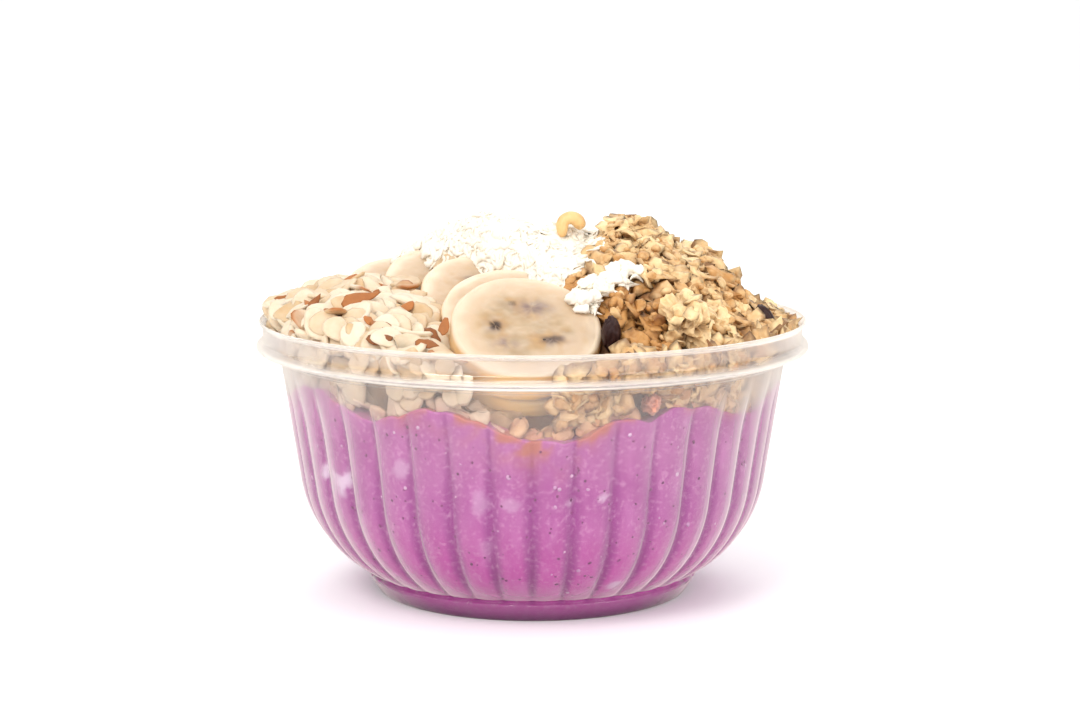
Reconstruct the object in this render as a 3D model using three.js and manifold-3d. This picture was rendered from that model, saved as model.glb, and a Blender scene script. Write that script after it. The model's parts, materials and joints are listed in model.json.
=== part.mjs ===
// A clear fluted plastic bowl of dragon fruit smoothie, topped with flaked almonds, a fanned sliced banana,
// shredded coconut and granola with raisins. Millimetres, +Z up. The origin is the middle of the bowl's foot,
// on the surface that it stands on, and the side with the front banana slice faces -Y.
import * as THREE from "three";
import { mergeVertices } from "three/addons/utils/BufferGeometryUtils.js";
import Module from "manifold-3d";

const wasm = await Module();
wasm.setup();

// ---------------------------------------------------------------- driving dimensions

const WALL = 0.5; // thickness of the thermoformed plastic
const GAP = 0.3; // air between pieces that touch
const FUSE = 0.1; // points and edges that stray less than this are drawn together after a cut

const FOOT = { radius: 40.3, topRadius: 42.9, height: 4.7, ring: 33, recess: 1.5, edge: 0.6 };
const SIDE = { topRadius: 64.9, topHeight: 60.5, draft: 0.155, bendRadius: 33, bendHeight: 30 };
const FLUTES = { count: 38, depth: 1.3, halfWidth: 0.24, fadeIn: 5, fadeFrom: 46 };
const RIM = { radius: 71, beadHeight: 64, bandRadius: 69.4, lipRadius: 70.1, height: 71 };

const LEVEL = 57.5; // height of the smoothie where nothing presses it down
// Where the toppings press the smoothie down: degrees round from the front, depth and half-width in degrees.
const DIPS = [
  [4, 9, 17],
  [-38, 5, 11],
  [-80, 5.5, 13],
  [-122, 4.5, 16],
  [-166, 5, 14],
  [56, 6, 15],
  [92, 5, 13],
  [134, 4.5, 17],
];

// The heaps' mounds: middle, reach along X and Y, height above their foot, which lies just below the lip, and
// how far they fall over the shoulder beside the rim.
const MOUNDS = {
  almonds: { x: -44, y: -12, reachX: 40, reachY: 62, height: 15, fall: 1 },
  coconut: { x: -12, y: 6, reachX: 66, reachY: 74, height: 29, fall: 0.5 },
  granola: { x: 22, y: 4, reachX: 52, reachY: 70, height: 31, fall: 4 },
  foot: 67.5,
  power: 1.25,
  shoulder: [48, 62],
};
const HEAP_EDGE = 68.4; // radius of the heaps inside the lid band
const HEAP_FOOT = 46; // the heaps' stock starts below the smoothie's lowest level

const SLICE = { radius: 18.1, thickness: 8, bevel: 0.9, corners: 16 };
// The row of slices: the middle of each front face, from the front to the back left, and how the first and the
// last one lean back and turn, in degrees.
const ROW = {
  middles: [[-1.8, -46, 74.5], [-4.2, -29.6, 75], [-11, -11, 77.1], [-20.5, 5.4, 77.5], [-32, 19.5, 74]],
  lean: [35, 28],
  swing: [8, 26],
  clear: 14, // room ahead of the first face, which nothing covers
};
// One more slice lies a depth behind the first one's face; what the second slice leaves of it is a crescent.
const UNDER = { name: "banana_slice_under", depth: 8.5, thickness: 5.6, clear: GAP, radius: 17.4 };

const SEGMENTS = FLUTES.count; // sides of every ring that has no flutes

// ---------------------------------------------------------------- shapes

const clamp = (t) => Math.min(1, Math.max(0, t));
const radians = THREE.MathUtils.degToRad;

// Radius of the bowl's side at a height, measured inset mm inside its outer face: a straight draft above a bend.
function sideRadius(z, inset = 0) {
  const slant = Math.hypot(1, SIDE.draft);
  const bendX = SIDE.topRadius - (SIDE.topHeight - SIDE.bendHeight) * SIDE.draft;
  const centreX = bendX - SIDE.bendRadius / slant;
  const centreZ = SIDE.bendHeight + (SIDE.bendRadius * SIDE.draft) / slant;
  const drop = centreZ - z;
  const bend = SIDE.bendRadius - inset;
  const onBend = drop > (bend * SIDE.draft) / slant;
  if (onBend) return centreX + Math.sqrt(Math.max(0, bend ** 2 - drop ** 2));
  return SIDE.topRadius - (SIDE.topHeight - z) * SIDE.draft - inset * slant;
}

// How far the flutes' grooves cut in at a height: nothing at the foot and under the rim.
function grooveDepth(z) {
  const above = clamp((z - FOOT.height) / FLUTES.fadeIn);
  const below = clamp((SIDE.topHeight - z) / (SIDE.topHeight - FLUTES.fadeFrom));
  return FLUTES.depth * (0.35 + 0.65 * above) * below;
}

// The smoothie's height against the wall, at an angle from the front (-Y), positive to the right.
function wallLevel(angle) {
  let level = LEVEL;
  for (const [middle, depth, width] of DIPS) {
    const away = THREE.MathUtils.euclideanModulo(angle - middle + 180, 360) - 180;
    level -= depth * Math.exp(-((away / width) ** 2));
  }
  return level;
}

// Degrees round from the front (-Y) of the point at index i of n.
const angleOf = (i, n) => (360 * i) / n;
const pointAt = (angle, radius, z) =>
  new THREE.Vector3(radius * Math.sin(radians(angle)), -radius * Math.cos(radians(angle)), z);

// A plain ring: radius and height are numbers, or functions of the angle.
function ring(radius, height) {
  const at = (value, angle) => (typeof value === "function" ? value(angle) : value);
  return Array.from({ length: SEGMENTS }, (_, i) => {
    const angle = angleOf(i, SEGMENTS);
    return pointAt(angle, at(radius, angle), at(height, angle));
  });
}

// A fluted ring: three points to a flute, at its groove and at the two shoulders of the lobe beside it.
function flutedRing(height, inset) {
  const pitch = 360 / FLUTES.count;
  const points = [];
  for (let i = 0; i < FLUTES.count; i++) {
    for (const share of [0, FLUTES.halfWidth, 1 - FLUTES.halfWidth]) {
      const angle = (i + share) * pitch;
      const z = typeof height === "function" ? height(angle) : height;
      const groove = share === 0 ? grooveDepth(z) : 0;
      points.push(pointAt(angle, sideRadius(z, inset) - groove, z));
    }
  }
  return points;
}

// A closed surface through rings of points, from one pole to another. Between two rings it walks round both,
// always stepping along the one whose next side is nearer, so that rings with different numbers of points join.
function loft(rings) {
  const vertices = rings.flat();
  const faces = [];
  let start = 0;
  for (let k = 0; k + 1 < rings.length; k++) {
    const [n, m] = [rings[k].length, rings[k + 1].length];
    const a = (i) => start + (i % n);
    const b = (j) => start + n + (j % m);
    const [stepsA, stepsB] = [n > 1 ? n : 0, m > 1 ? m : 0];
    let [i, j] = [0, 0];
    while (i < stepsA || j < stepsB) {
      const nearer = i < stepsA && (j >= stepsB || (2 * i + 1) * stepsB <= (2 * j + 1) * stepsA);
      if (nearer) faces.push(a(i), a(++i), b(j));
      else faces.push(a(i), b(j + 1), b(j++));
    }
    start += n;
  }
  const geometry = new THREE.BufferGeometry().setFromPoints(vertices);
  return geometry.setIndex(faces);
}

const pole = (z) => [new THREE.Vector3(0, 0, z)];

// ---------------------------------------------------------------- solids

// A closed geometry as a solid that can be joined and cut.
function solidOf(geometry) {
  const bare = new THREE.BufferGeometry().setAttribute("position", geometry.getAttribute("position"));
  if (geometry.index) bare.setIndex(geometry.index);
  const merged = mergeVertices(bare, 1e-4);
  return new wasm.Manifold(
    new wasm.Mesh({
      numProp: 3,
      vertProperties: new Float32Array(merged.attributes.position.array),
      triVerts: new Uint32Array(merged.index.array),
    }),
  );
}

// The largest body of a solid, as a geometry: a cut can leave crumbs beside it, and points closer than FUSE.
function geometryOf(solid) {
  const [largest] = solid.decompose().sort((a, b) => b.volume() - a.volume());
  const mesh = largest.simplify(FUSE).getMesh();
  const geometry = new THREE.BufferGeometry();
  geometry.setAttribute("position", new THREE.BufferAttribute(mesh.vertProperties, mesh.numProp));
  geometry.setIndex(new THREE.BufferAttribute(mesh.triVerts, 1));
  return geometry;
}

function makeMesh(name, geometry, material) {
  geometry.computeVertexNormals();
  const mesh = new THREE.Mesh(geometry, material);
  mesh.name = name;
  return mesh;
}

const FLUTED_HEIGHTS = [5.6, 10, 17, 27, FLUTES.fadeFrom];

// The bowl: one thin shell with a recessed base, a foot, fluted sides, a bead, a lid band and a rolled lip.
function bowlGeometry() {
  const outside = [
    pole(FOOT.recess),
    ring(FOOT.ring - 1, FOOT.recess),
    ring(FOOT.ring, 0),
    ring(FOOT.radius - FOOT.edge, 0),
    ring(FOOT.radius, FOOT.edge),
    ring(FOOT.topRadius, FOOT.height),
    ...FLUTED_HEIGHTS.map((z) => flutedRing(z, 0)),
    ring(SIDE.topRadius, SIDE.topHeight),
  ];
  const bead = RIM.beadHeight;
  const rim = [
    ring(SIDE.topRadius + 1, bead - 2.4),
    ring(RIM.radius - 1, bead - 1.2),
    ring(RIM.radius, bead - 0.6),
    ring(RIM.radius, bead + 0.7),
    ring(RIM.bandRadius + 0.2, bead + 1.5),
    ring(RIM.bandRadius, RIM.height - 1.9),
    ring(RIM.lipRadius, RIM.height - 1.3),
    ring(RIM.lipRadius - 0.2, RIM.height - 0.2),
    ring(RIM.bandRadius - 0.5, RIM.height),
    ring(RIM.bandRadius - WALL, RIM.height - 0.6),
    ring(RIM.bandRadius + 0.1 - WALL, bead + 1.5),
    ring(RIM.radius - WALL, bead),
    ring(RIM.radius - 1.2, bead - 0.7),
    ring(SIDE.topRadius + 0.8, bead - 1.9),
  ];
  const floor = FOOT.recess + WALL;
  const inside = [
    ring(SIDE.topRadius - WALL, SIDE.topHeight),
    ...FLUTED_HEIGHTS.map((z) => flutedRing(z, WALL)).reverse(),
    ring(FOOT.topRadius - WALL, FOOT.height + 0.2),
    ring(FOOT.radius - WALL, FOOT.edge + 0.3),
    ring(FOOT.radius - FOOT.edge - WALL, WALL),
    ring(FOOT.ring + WALL, WALL),
    ring(FOOT.ring - 1 + WALL, floor),
    pole(floor),
  ];
  return loft([...outside, ...rim, ...inside]);
}

// The smoothie: everything inside the bowl up to the level that the toppings have pressed into waves. The room
// that it takes from the heaps is the same body, grown by a gap.
function smoothieGeometry(grown = 0) {
  const inset = WALL + GAP - 2 * grown;
  const floor = FOOT.recess + inset;
  const level = (angle) => wallLevel(angle) + grown;
  const within = (share, calm) => ring(
    share * sideRadius(LEVEL, inset),
    (angle) => THREE.MathUtils.lerp(LEVEL - 3 + grown, level(angle), calm),
  );
  return loft([
    pole(floor),
    ring(FOOT.ring - 1 + WALL, floor),
    ring(FOOT.ring + inset, inset),
    ring(FOOT.radius - FOOT.edge - inset, inset),
    ring(FOOT.radius - inset, FOOT.edge + 0.6),
    ring(FOOT.topRadius - inset, FOOT.height + 0.3),
    ...FLUTED_HEIGHTS.map((z) => flutedRing(z, inset)),
    flutedRing(level, inset),
    within(0.75, 0.5),
    pole(LEVEL - 3 + grown),
  ]);
}

// Height of a mound over a point: a dome whose sides run nearly straight, and fall faster beside the rim.
function moundHeight({ x, y, reachX, reachY, height, fall }, px, py) {
  const away = Math.hypot((px - x) / reachX, (py - y) / reachY);
  const dome = height * Math.max(0, 1 - away ** MOUNDS.power);
  return MOUNDS.foot + dome - fall * THREE.MathUtils.smoothstep(Math.hypot(px, py), ...MOUNDS.shoulder);
}

// Lumps as large as the clusters and flakes that make up a heap's outline.
function lumps(x, y, size) {
  const broad = Math.sin(x / 3.1 + 0.8) * Math.sin(y / 3.4 + 1.9);
  const fine = Math.sin(x / 1.9 - y / 2.3 + 0.4);
  return size * (0.7 * broad + 0.3 * fine);
}

// A heap's stock: from below the smoothie's surface to the mound, inside the wall, the bead and the lip.
function heapSolid(mound, lumpSize) {
  const inset = WALL + GAP;
  const reach = (z) => sideRadius(z, inset) - grooveDepth(z);
  const shares = [0.95, 0.83, 0.67, 0.48, 0.26];
  const top = (share) => ring(
    () => share * HEAP_EDGE,
    (angle) => {
      const { x, y } = pointAt(angle, share * HEAP_EDGE, 0);
      return moundHeight(mound, x, y) + lumps(x, y, lumpSize);
    },
  );
  const rings = [
    pole(HEAP_FOOT),
    ring(reach(HEAP_FOOT), HEAP_FOOT),
    ring(reach(SIDE.topHeight), SIDE.topHeight),
    ring(SIDE.topRadius + 0.2, RIM.beadHeight - 1.6),
    ring(HEAP_EDGE, RIM.beadHeight - 0.2),
    ...shares.map(top),
    pole(moundHeight(mound, 0, 0)),
  ];
  return solidOf(loft(rings));
}

// An upright prism over an outline in plan, as tall as any heap.
function prismOf(points) {
  const outline = new THREE.Shape(points);
  const prism = new THREE.ExtrudeGeometry(outline, { depth: 100, bevelEnabled: false });
  return solidOf(prism.translate(0, 0, 20));
}

// ---------------------------------------------------------------- plan of the toppings

const plan = (x, y) => new THREE.Vector2(x, y);
const FAR = 90;
const MEETING = plan(6, -32); // where almonds, coconut and granola meet, behind the front banana slice
const FRONT_LINE = [plan(-4, -FAR), plan(-4, -60), plan(1, -44), MEETING];
const COCONUT_LEFT = new THREE.SplineCurve(
  [MEETING, plan(-4, -14), plan(-18, 3), plan(-32, 18), plan(-42, 36), plan(-50, FAR)],
).getPoints(9);
const COCONUT_RIGHT = new THREE.SplineCurve(
  [MEETING, plan(15, -16), plan(18, 8), plan(15, 40), plan(8, FAR)],
).getPoints(8);

// A thin upright wall along a line in plan, which leaves the gap between two heaps.
function curtain(line) {
  const side = (shift) => line.map((p, i) => {
    const before = line[Math.max(0, i - 1)];
    const after = line[Math.min(line.length - 1, i + 1)];
    const across = after.clone().sub(before).rotateAround(plan(0, 0), Math.PI / 2);
    return p.clone().add(across.setLength(shift));
  });
  return prismOf([...side(-GAP / 2), ...side(GAP / 2).reverse()]);
}

const AREAS = {
  almonds: [...FRONT_LINE, ...COCONUT_LEFT.slice(1), plan(-FAR, FAR), plan(-FAR, -FAR)],
  coconut: [...COCONUT_LEFT, ...COCONUT_RIGHT.slice(1).reverse()],
  granola: [...FRONT_LINE, ...COCONUT_RIGHT.slice(1), plan(FAR, FAR), plan(FAR, -FAR)],
};

// ---------------------------------------------------------------- banana, raisins and cashew

// A banana's cross-section: nearly round, with three faint flats, grown by margin.
function sliceOutline(slice, margin) {
  return new THREE.Shape(
    Array.from({ length: SLICE.corners }, (_, i) => {
      const angle = (2 * Math.PI * i) / SLICE.corners;
      const flats = 0.018 * Math.cos(3 * (angle - slice.turn)) + 0.01 * Math.cos(2 * angle + slice.turn);
      const r = slice.radius * (1 + flats) + margin;
      return plan(r * Math.cos(angle), r * Math.sin(angle));
    }),
  );
}

// A slice with its edges broken, its front face on the plane z = 0.
function sliceGeometry(slice) {
  const { bevel } = SLICE;
  const { thickness } = slice;
  const geometry = new THREE.ExtrudeGeometry(sliceOutline(slice, 0), {
    depth: thickness - 2 * bevel,
    bevelThickness: bevel,
    bevelSize: bevel,
    bevelOffset: -bevel,
    bevelSegments: 1,
  });
  return geometry.translate(0, 0, bevel - thickness);
}

// The room that a slice takes: a plain disc, a gap larger all round, and as far ahead of its face as is clear.
function slicePocket(slice) {
  const options = { depth: slice.thickness + GAP + slice.clear, bevelEnabled: false };
  const geometry = new THREE.ExtrudeGeometry(sliceOutline(slice, 1.1 * GAP), options);
  return geometry.translate(0, 0, -slice.thickness - GAP);
}

// The fanned banana: each slice leans back on the next, along a path that bends away to the left.
function bananaSlices() {
  return ROW.middles.map((middle, i) => {
    const along = i / (ROW.middles.length - 1);
    const lean = radians(THREE.MathUtils.lerp(...ROW.lean, along));
    const swing = radians(THREE.MathUtils.lerp(...ROW.swing, along));
    return {
      name: `banana_slice_${i + 1}`,
      radius: SLICE.radius - 0.3 * (i % 3),
      thickness: SLICE.thickness,
      clear: i === 0 ? ROW.clear : GAP,
      turn: 0.9 * i,
      rotation: new THREE.Euler(lean, 0, swing, "ZYX"),
      position: new THREE.Vector3(...middle),
    };
  });
}

// The slice under the first one, square to it.
function sliceUnder(first) {
  const position = new THREE.Vector3(0, 0, -UNDER.depth).applyEuler(first.rotation).add(first.position);
  return { ...first, ...UNDER, position };
}

// A geometry moved to where its piece lies.
function laid(geometry, { position, rotation }) {
  const turned = new THREE.Quaternion().setFromEuler(rotation);
  return geometry.applyMatrix4(new THREE.Matrix4().compose(position, turned, new THREE.Vector3(1, 1, 1)));
}

// A raisin: a flattened, wrinkled berry.
function raisinGeometry(raisin, margin) {
  const round = new THREE.SphereGeometry(1, 10, 6);
  const place = round.getAttribute("position");
  for (let i = 0; i < place.count; i++) {
    const v = new THREE.Vector3().fromBufferAttribute(place, i);
    const wrinkle = 1 + 0.07 * Math.sin(5 * Math.atan2(v.y, v.x)) * (1 - v.z ** 2);
    v.multiplyScalar(wrinkle).multiply(raisin.half.clone().addScalar(margin));
    place.setXYZ(i, v.x, v.y, v.z);
  }
  return round;
}

const RAISINS = [
  {
    name: "raisin_front",
    half: new THREE.Vector3(2.5, 2.7, 5),
    position: new THREE.Vector3(18.9, -49.5, 73.2),
    rotation: new THREE.Euler(0.3, 0.05, 0),
  },
  {
    name: "raisin_right",
    half: new THREE.Vector3(2.3, 2.2, 4.6),
    position: new THREE.Vector3(59, -13, 71.6),
    rotation: new THREE.Euler(-0.3, -0.45, 0.2),
  },
];

// The cashew at the crest: a round body along an arch, on two legs that stand in the coconut.
const CASHEW = {
  name: "cashew",
  bend: 2.5,
  girth: 1.45,
  legs: 4.5,
  position: new THREE.Vector3(9.8, 1.5, 94.1),
  rotation: new THREE.Euler(0, 0, 0.3),
};

function cashewGeometry({ bend, girth, legs }, margin) {
  const bends = 5;
  const sides = 8;
  // A ring round the body, turned along the arch from the left leg (0) to the right one, and dropped down a leg.
  const section = (turn, drop, share) => Array.from({ length: sides }, (_, j) => {
    const spin = (2 * Math.PI * j) / sides;
    const thick = girth * share + margin;
    const out = bend + thick * Math.cos(spin);
    return new THREE.Vector3(-out * Math.cos(turn), -thick * Math.sin(spin), out * Math.sin(turn) - drop);
  });
  const tip = (side) => [new THREE.Vector3(side * bend, 0, -legs - 0.5 - margin)];
  const arch = Array.from({ length: bends }, (_, i) => section((Math.PI * i) / (bends - 1), 0, 1));
  return loft([tip(-1), section(0, legs, 0.7), ...arch, section(Math.PI, legs, 0.7), tip(1)]);
}

// ---------------------------------------------------------------- materials

const finish = (color, roughness, extra = {}) =>
  new THREE.MeshStandardMaterial({ color, roughness, metalness: 0, ...extra });
const clearPlastic = finish(0xf2efec, 0.08, { transparent: true, opacity: 0.3 });
const pinkSmoothie = finish(0xcb7eb9, 0.45);
const almondFlesh = finish(0xf1dcb8, 0.6);
const whiteCoconut = finish(0xfbf7ef, 0.7);
const toastedOats = finish(0xdcb07a, 0.75);
const bananaFlesh = finish(0xf3dfb6, 0.5);
const darkRaisin = finish(0x3b2118, 0.5);
const roastedNut = finish(0xe2b777, 0.45);

// ---------------------------------------------------------------- the object

const dragonFruitBowl = new THREE.Group();
dragonFruitBowl.name = "dragon_fruit_bowl";
dragonFruitBowl.add(makeMesh("bowl", bowlGeometry(), clearPlastic));
dragonFruitBowl.add(makeMesh("smoothie", smoothieGeometry(), pinkSmoothie));

// The slices, the raisins and the cashew stay whole; the room that they need is cut from what lies round them.
const pockets = [];
for (const slice of bananaSlices()) {
  dragonFruitBowl.add(makeMesh(slice.name, laid(sliceGeometry(slice), slice), bananaFlesh));
  pockets.push(solidOf(laid(slicePocket(slice), slice)));
}
const under = sliceUnder(bananaSlices()[0]);
const crescent = solidOf(laid(sliceGeometry(under), under)).subtract(pockets[1]);
dragonFruitBowl.add(makeMesh(under.name, geometryOf(crescent), bananaFlesh));
pockets.push(solidOf(laid(slicePocket(under), under)));
for (const raisin of RAISINS) {
  dragonFruitBowl.add(makeMesh(raisin.name, laid(raisinGeometry(raisin, 0), raisin), darkRaisin));
  pockets.push(solidOf(laid(raisinGeometry(raisin, GAP), raisin)));
}
dragonFruitBowl.add(makeMesh(CASHEW.name, laid(cashewGeometry(CASHEW, 0), CASHEW), roastedNut));
pockets.push(solidOf(laid(cashewGeometry(CASHEW, GAP), CASHEW)));

const underside = solidOf(smoothieGeometry(GAP));
const curtains = [FRONT_LINE, COCONUT_LEFT, COCONUT_RIGHT].map(curtain);
const heaps = [
  { name: "almond_heap", area: AREAS.almonds, mound: MOUNDS.almonds, lump: 2, material: almondFlesh },
  { name: "coconut_heap", area: AREAS.coconut, mound: MOUNDS.coconut, lump: 1.3, material: whiteCoconut },
  { name: "granola_heap", area: AREAS.granola, mound: MOUNDS.granola, lump: 2.8, material: toastedOats },
];
for (const heap of heaps) {
  let solid = heapSolid(heap.mound, heap.lump).intersect(prismOf(heap.area));
  for (const cutter of [underside, ...curtains, ...pockets]) solid = solid.subtract(cutter);
  dragonFruitBowl.add(makeMesh(heap.name, geometryOf(solid), heap.material));
}

export default dragonFruitBowl;
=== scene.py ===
"""A clear fluted plastic bowl of dragon fruit smoothie under flaked almonds, sliced banana, coconut and granola.

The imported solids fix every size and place. The bowl, the smoothie, the slices and the raisins are built again
as fine surfaces, and each heap becomes a smaller core with the real flakes, shreds and clusters laid on it.
Lengths are in millimetres until a mesh is made. Angles round the bowl start at the front (-Y) and grow
towards +X.
"""

import itertools
import json
import logging
import math
from dataclasses import dataclass, field
from enum import Enum

import bpy
import numpy as np
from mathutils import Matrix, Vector

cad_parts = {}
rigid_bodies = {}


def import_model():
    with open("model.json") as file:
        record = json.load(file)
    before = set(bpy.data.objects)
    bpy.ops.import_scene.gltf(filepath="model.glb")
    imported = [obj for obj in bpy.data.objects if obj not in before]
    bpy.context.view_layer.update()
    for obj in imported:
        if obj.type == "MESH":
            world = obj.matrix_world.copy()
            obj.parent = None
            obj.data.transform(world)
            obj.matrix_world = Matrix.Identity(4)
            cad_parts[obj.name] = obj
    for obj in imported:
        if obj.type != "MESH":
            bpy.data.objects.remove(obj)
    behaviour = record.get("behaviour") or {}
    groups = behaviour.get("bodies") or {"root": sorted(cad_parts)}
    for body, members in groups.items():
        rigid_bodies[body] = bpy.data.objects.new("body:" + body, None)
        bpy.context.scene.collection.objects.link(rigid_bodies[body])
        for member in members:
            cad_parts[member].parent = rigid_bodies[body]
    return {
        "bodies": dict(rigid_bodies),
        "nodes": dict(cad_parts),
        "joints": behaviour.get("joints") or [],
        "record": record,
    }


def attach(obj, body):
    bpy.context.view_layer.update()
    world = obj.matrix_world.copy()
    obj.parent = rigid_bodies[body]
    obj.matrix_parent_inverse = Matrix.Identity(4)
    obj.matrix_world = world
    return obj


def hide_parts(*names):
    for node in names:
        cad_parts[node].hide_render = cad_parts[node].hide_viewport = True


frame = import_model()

Array = np.ndarray
Tree = bpy.types.NodeTree
Node = bpy.types.Node
Socket = bpy.types.NodeSocket
Colour = tuple[float, float, float, float]
Rng = np.random.Generator
log = logging.getLogger("dragon_fruit_bowl")

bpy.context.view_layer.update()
MM = 0.001
TAU = 2 * math.pi
FLUTE_SAMPLES = 11  # points round one flute


# ---------------------------------------------------------------- numbers and meshes


def unit(vectors: Array) -> Array:
    """Vectors scaled to a length of one."""
    return vectors / np.maximum(np.linalg.norm(vectors, axis=-1, keepdims=True), 1e-12)


def smoothstep(low: float, high: float, value: Array) -> Array:
    """A soft step from 0 at low to 1 at high: 3t^2 - 2t^3."""
    t = np.clip((value - low) / (high - low), 0, 1)
    return t * t * (3 - 2 * t)


def around(angle: Array, radius: Array, height: Array) -> Array:
    """Points at an angle from the front, a radius and a height: (r sin a, -r cos a, z)."""
    angle, radius, height = np.broadcast_arrays(angle, radius, height)
    return np.stack([radius * np.sin(angle), -radius * np.cos(angle), height], axis=-1)


def angle_of(points: Array) -> Array:
    """Angle of points from the front of the bowl."""
    return np.arctan2(points[..., 0], -points[..., 1])


class SpaceNoise:
    """Smooth random numbers over space: a lattice of seeded values, softly blended between its points."""

    SIDE = 32

    def __init__(self, seed: int) -> None:
        """Draws the lattice from the seed."""
        self.lattice = np.random.default_rng(seed).uniform(-1, 1, (self.SIDE,) * 3)

    def at(self, points: Array, size: float) -> Array:
        """Noise of one size.

        Args:
            points: places, with X, Y and Z last.
            size: the lattice's pitch in millimetres.

        Returns:
            Values between -1 and 1: the eight corners of each point's cell, weighted by nearness.
        """
        scaled = points / size
        cell = np.floor(scaled).astype(int)
        part = scaled - cell
        part = part * part * (3 - 2 * part)
        total = np.zeros(points.shape[:-1])
        for corner in itertools.product((0, 1), repeat=3):
            weight = np.prod(np.where(corner, part, 1 - part), axis=-1)
            i, j, k = np.moveaxis((cell + corner) % self.SIDE, -1, 0)
            total += weight * self.lattice[i, j, k]
        return total

    def layers(self, points: Array, size: float) -> Array:
        """Sum of three noises, each half the size and half the strength of the one before."""
        return sum(self.at(points + 7.3 * n, size / 2**n) / 2**n for n in range(3))


@dataclass
class Surface:
    """A closed surface: vertices in millimetres, faces of four and three corners, and marks on its vertices."""

    vertices: Array
    quads: Array
    triangles: Array = field(default_factory=lambda: np.zeros((0, 3), int))
    marks: dict[str, Array] = field(default_factory=dict)

    def mark_rings(self, **marks: Array) -> None:
        """Keeps marks of the rings' points, and nothing on the two poles."""
        for key, values in marks.items():
            self.marks[key] = np.append(values.ravel(), [0, 0])


def lattice_quads(rows: int, columns: int, closed: bool) -> Array:
    """Faces of a grid of rows by columns of points, whose columns may close into a ring.

    Args:
        rows: how many rows of points.
        columns: how many points in a row.
        closed: whether each row closes into a ring.

    Returns:
        The four corners of each face.
    """
    row, column = np.meshgrid(np.arange(rows - 1), np.arange(columns if closed else columns - 1), indexing="ij")
    after = (column + 1) % columns
    here, above = row * columns, (row + 1) * columns
    return np.stack([here + column, here + after, above + after, above + column], axis=-1).reshape(-1, 4)


def ring_solid(rings: Array, first: Array, last: Array) -> Surface:
    """A closed surface through rings of points, from one pole to the other.

    Args:
        rings: points with ring, place round it and X, Y, Z as axes, anticlockwise as seen from the last pole.
        first: the pole before the first ring.
        last: the pole after the last ring.

    Returns:
        The surface, its vertices being the rings in order and then the two poles.
    """
    count, columns = rings.shape[:2]
    here = np.arange(columns)
    after = (here + 1) % columns
    poles = count * columns + np.array([0, 1])
    top = (count - 1) * columns
    fans = [
        np.stack([np.full(columns, poles[0]), after, here], axis=-1),
        np.stack([np.full(columns, poles[1]), top + here, top + after], axis=-1),
    ]
    vertices = np.concatenate([rings.reshape(-1, 3), [first, last]])
    return Surface(vertices, lattice_quads(count, columns, True), np.concatenate(fans))


def slab_solid(layers: Array) -> Surface:
    """A closed body between a top grid and a bottom grid, walled round through the rims of those between.

    Args:
        layers: grids from the top one to the bottom one, with layer, row, column and X, Y, Z as axes. Rows run
            towards the back and columns towards the right.

    Returns:
        The surface. The grids between the first and the last give only their outermost points.
    """
    count, rows, columns = layers.shape[:3]
    edge = np.concatenate([
        np.stack([np.zeros(columns, int), np.arange(columns)], -1),
        np.stack([np.arange(1, rows), np.full(rows - 1, columns - 1)], -1),
        np.stack([np.full(columns - 1, rows - 1), np.arange(columns - 2, -1, -1)], -1),
        np.stack([np.arange(rows - 2, 0, -1), np.zeros(rows - 2, int)], -1),
    ])
    flat = edge[:, 0] * columns + edge[:, 1]
    between = layers[1:-1, edge[:, 0], edge[:, 1]].reshape(-1, 3)
    size, girth = rows * columns, len(flat)
    vertices = np.concatenate([layers[0].reshape(-1, 3), layers[-1].reshape(-1, 3), between])
    rims = [2 * size + girth * n + np.arange(girth) for n in range(count - 3, -1, -1)]
    loops = [size + flat, *rims, flat]
    top = lattice_quads(rows, columns, False)
    walls = [
        np.stack([low, np.roll(low, -1), np.roll(high, -1), high], axis=-1)
        for low, high in zip(loops[:-1], loops[1:])
    ]
    return Surface(vertices, np.concatenate([top, size + top[:, ::-1], *walls]))


def joined(surfaces: list[Surface]) -> Surface:
    """One surface made of several, whose marks are those that the first one has.

    Args:
        surfaces: the surfaces.

    Returns:
        All of them as one.
    """
    starts = np.cumsum([0] + [len(s.vertices) for s in surfaces[:-1]])
    return Surface(
        np.concatenate([s.vertices for s in surfaces]),
        np.concatenate([s.quads + start for s, start in zip(surfaces, starts)]),
        np.concatenate([s.triangles + start for s, start in zip(surfaces, starts)]),
        {key: np.concatenate([s.marks[key] for s in surfaces]) for key in surfaces[0].marks},
    )


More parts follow.
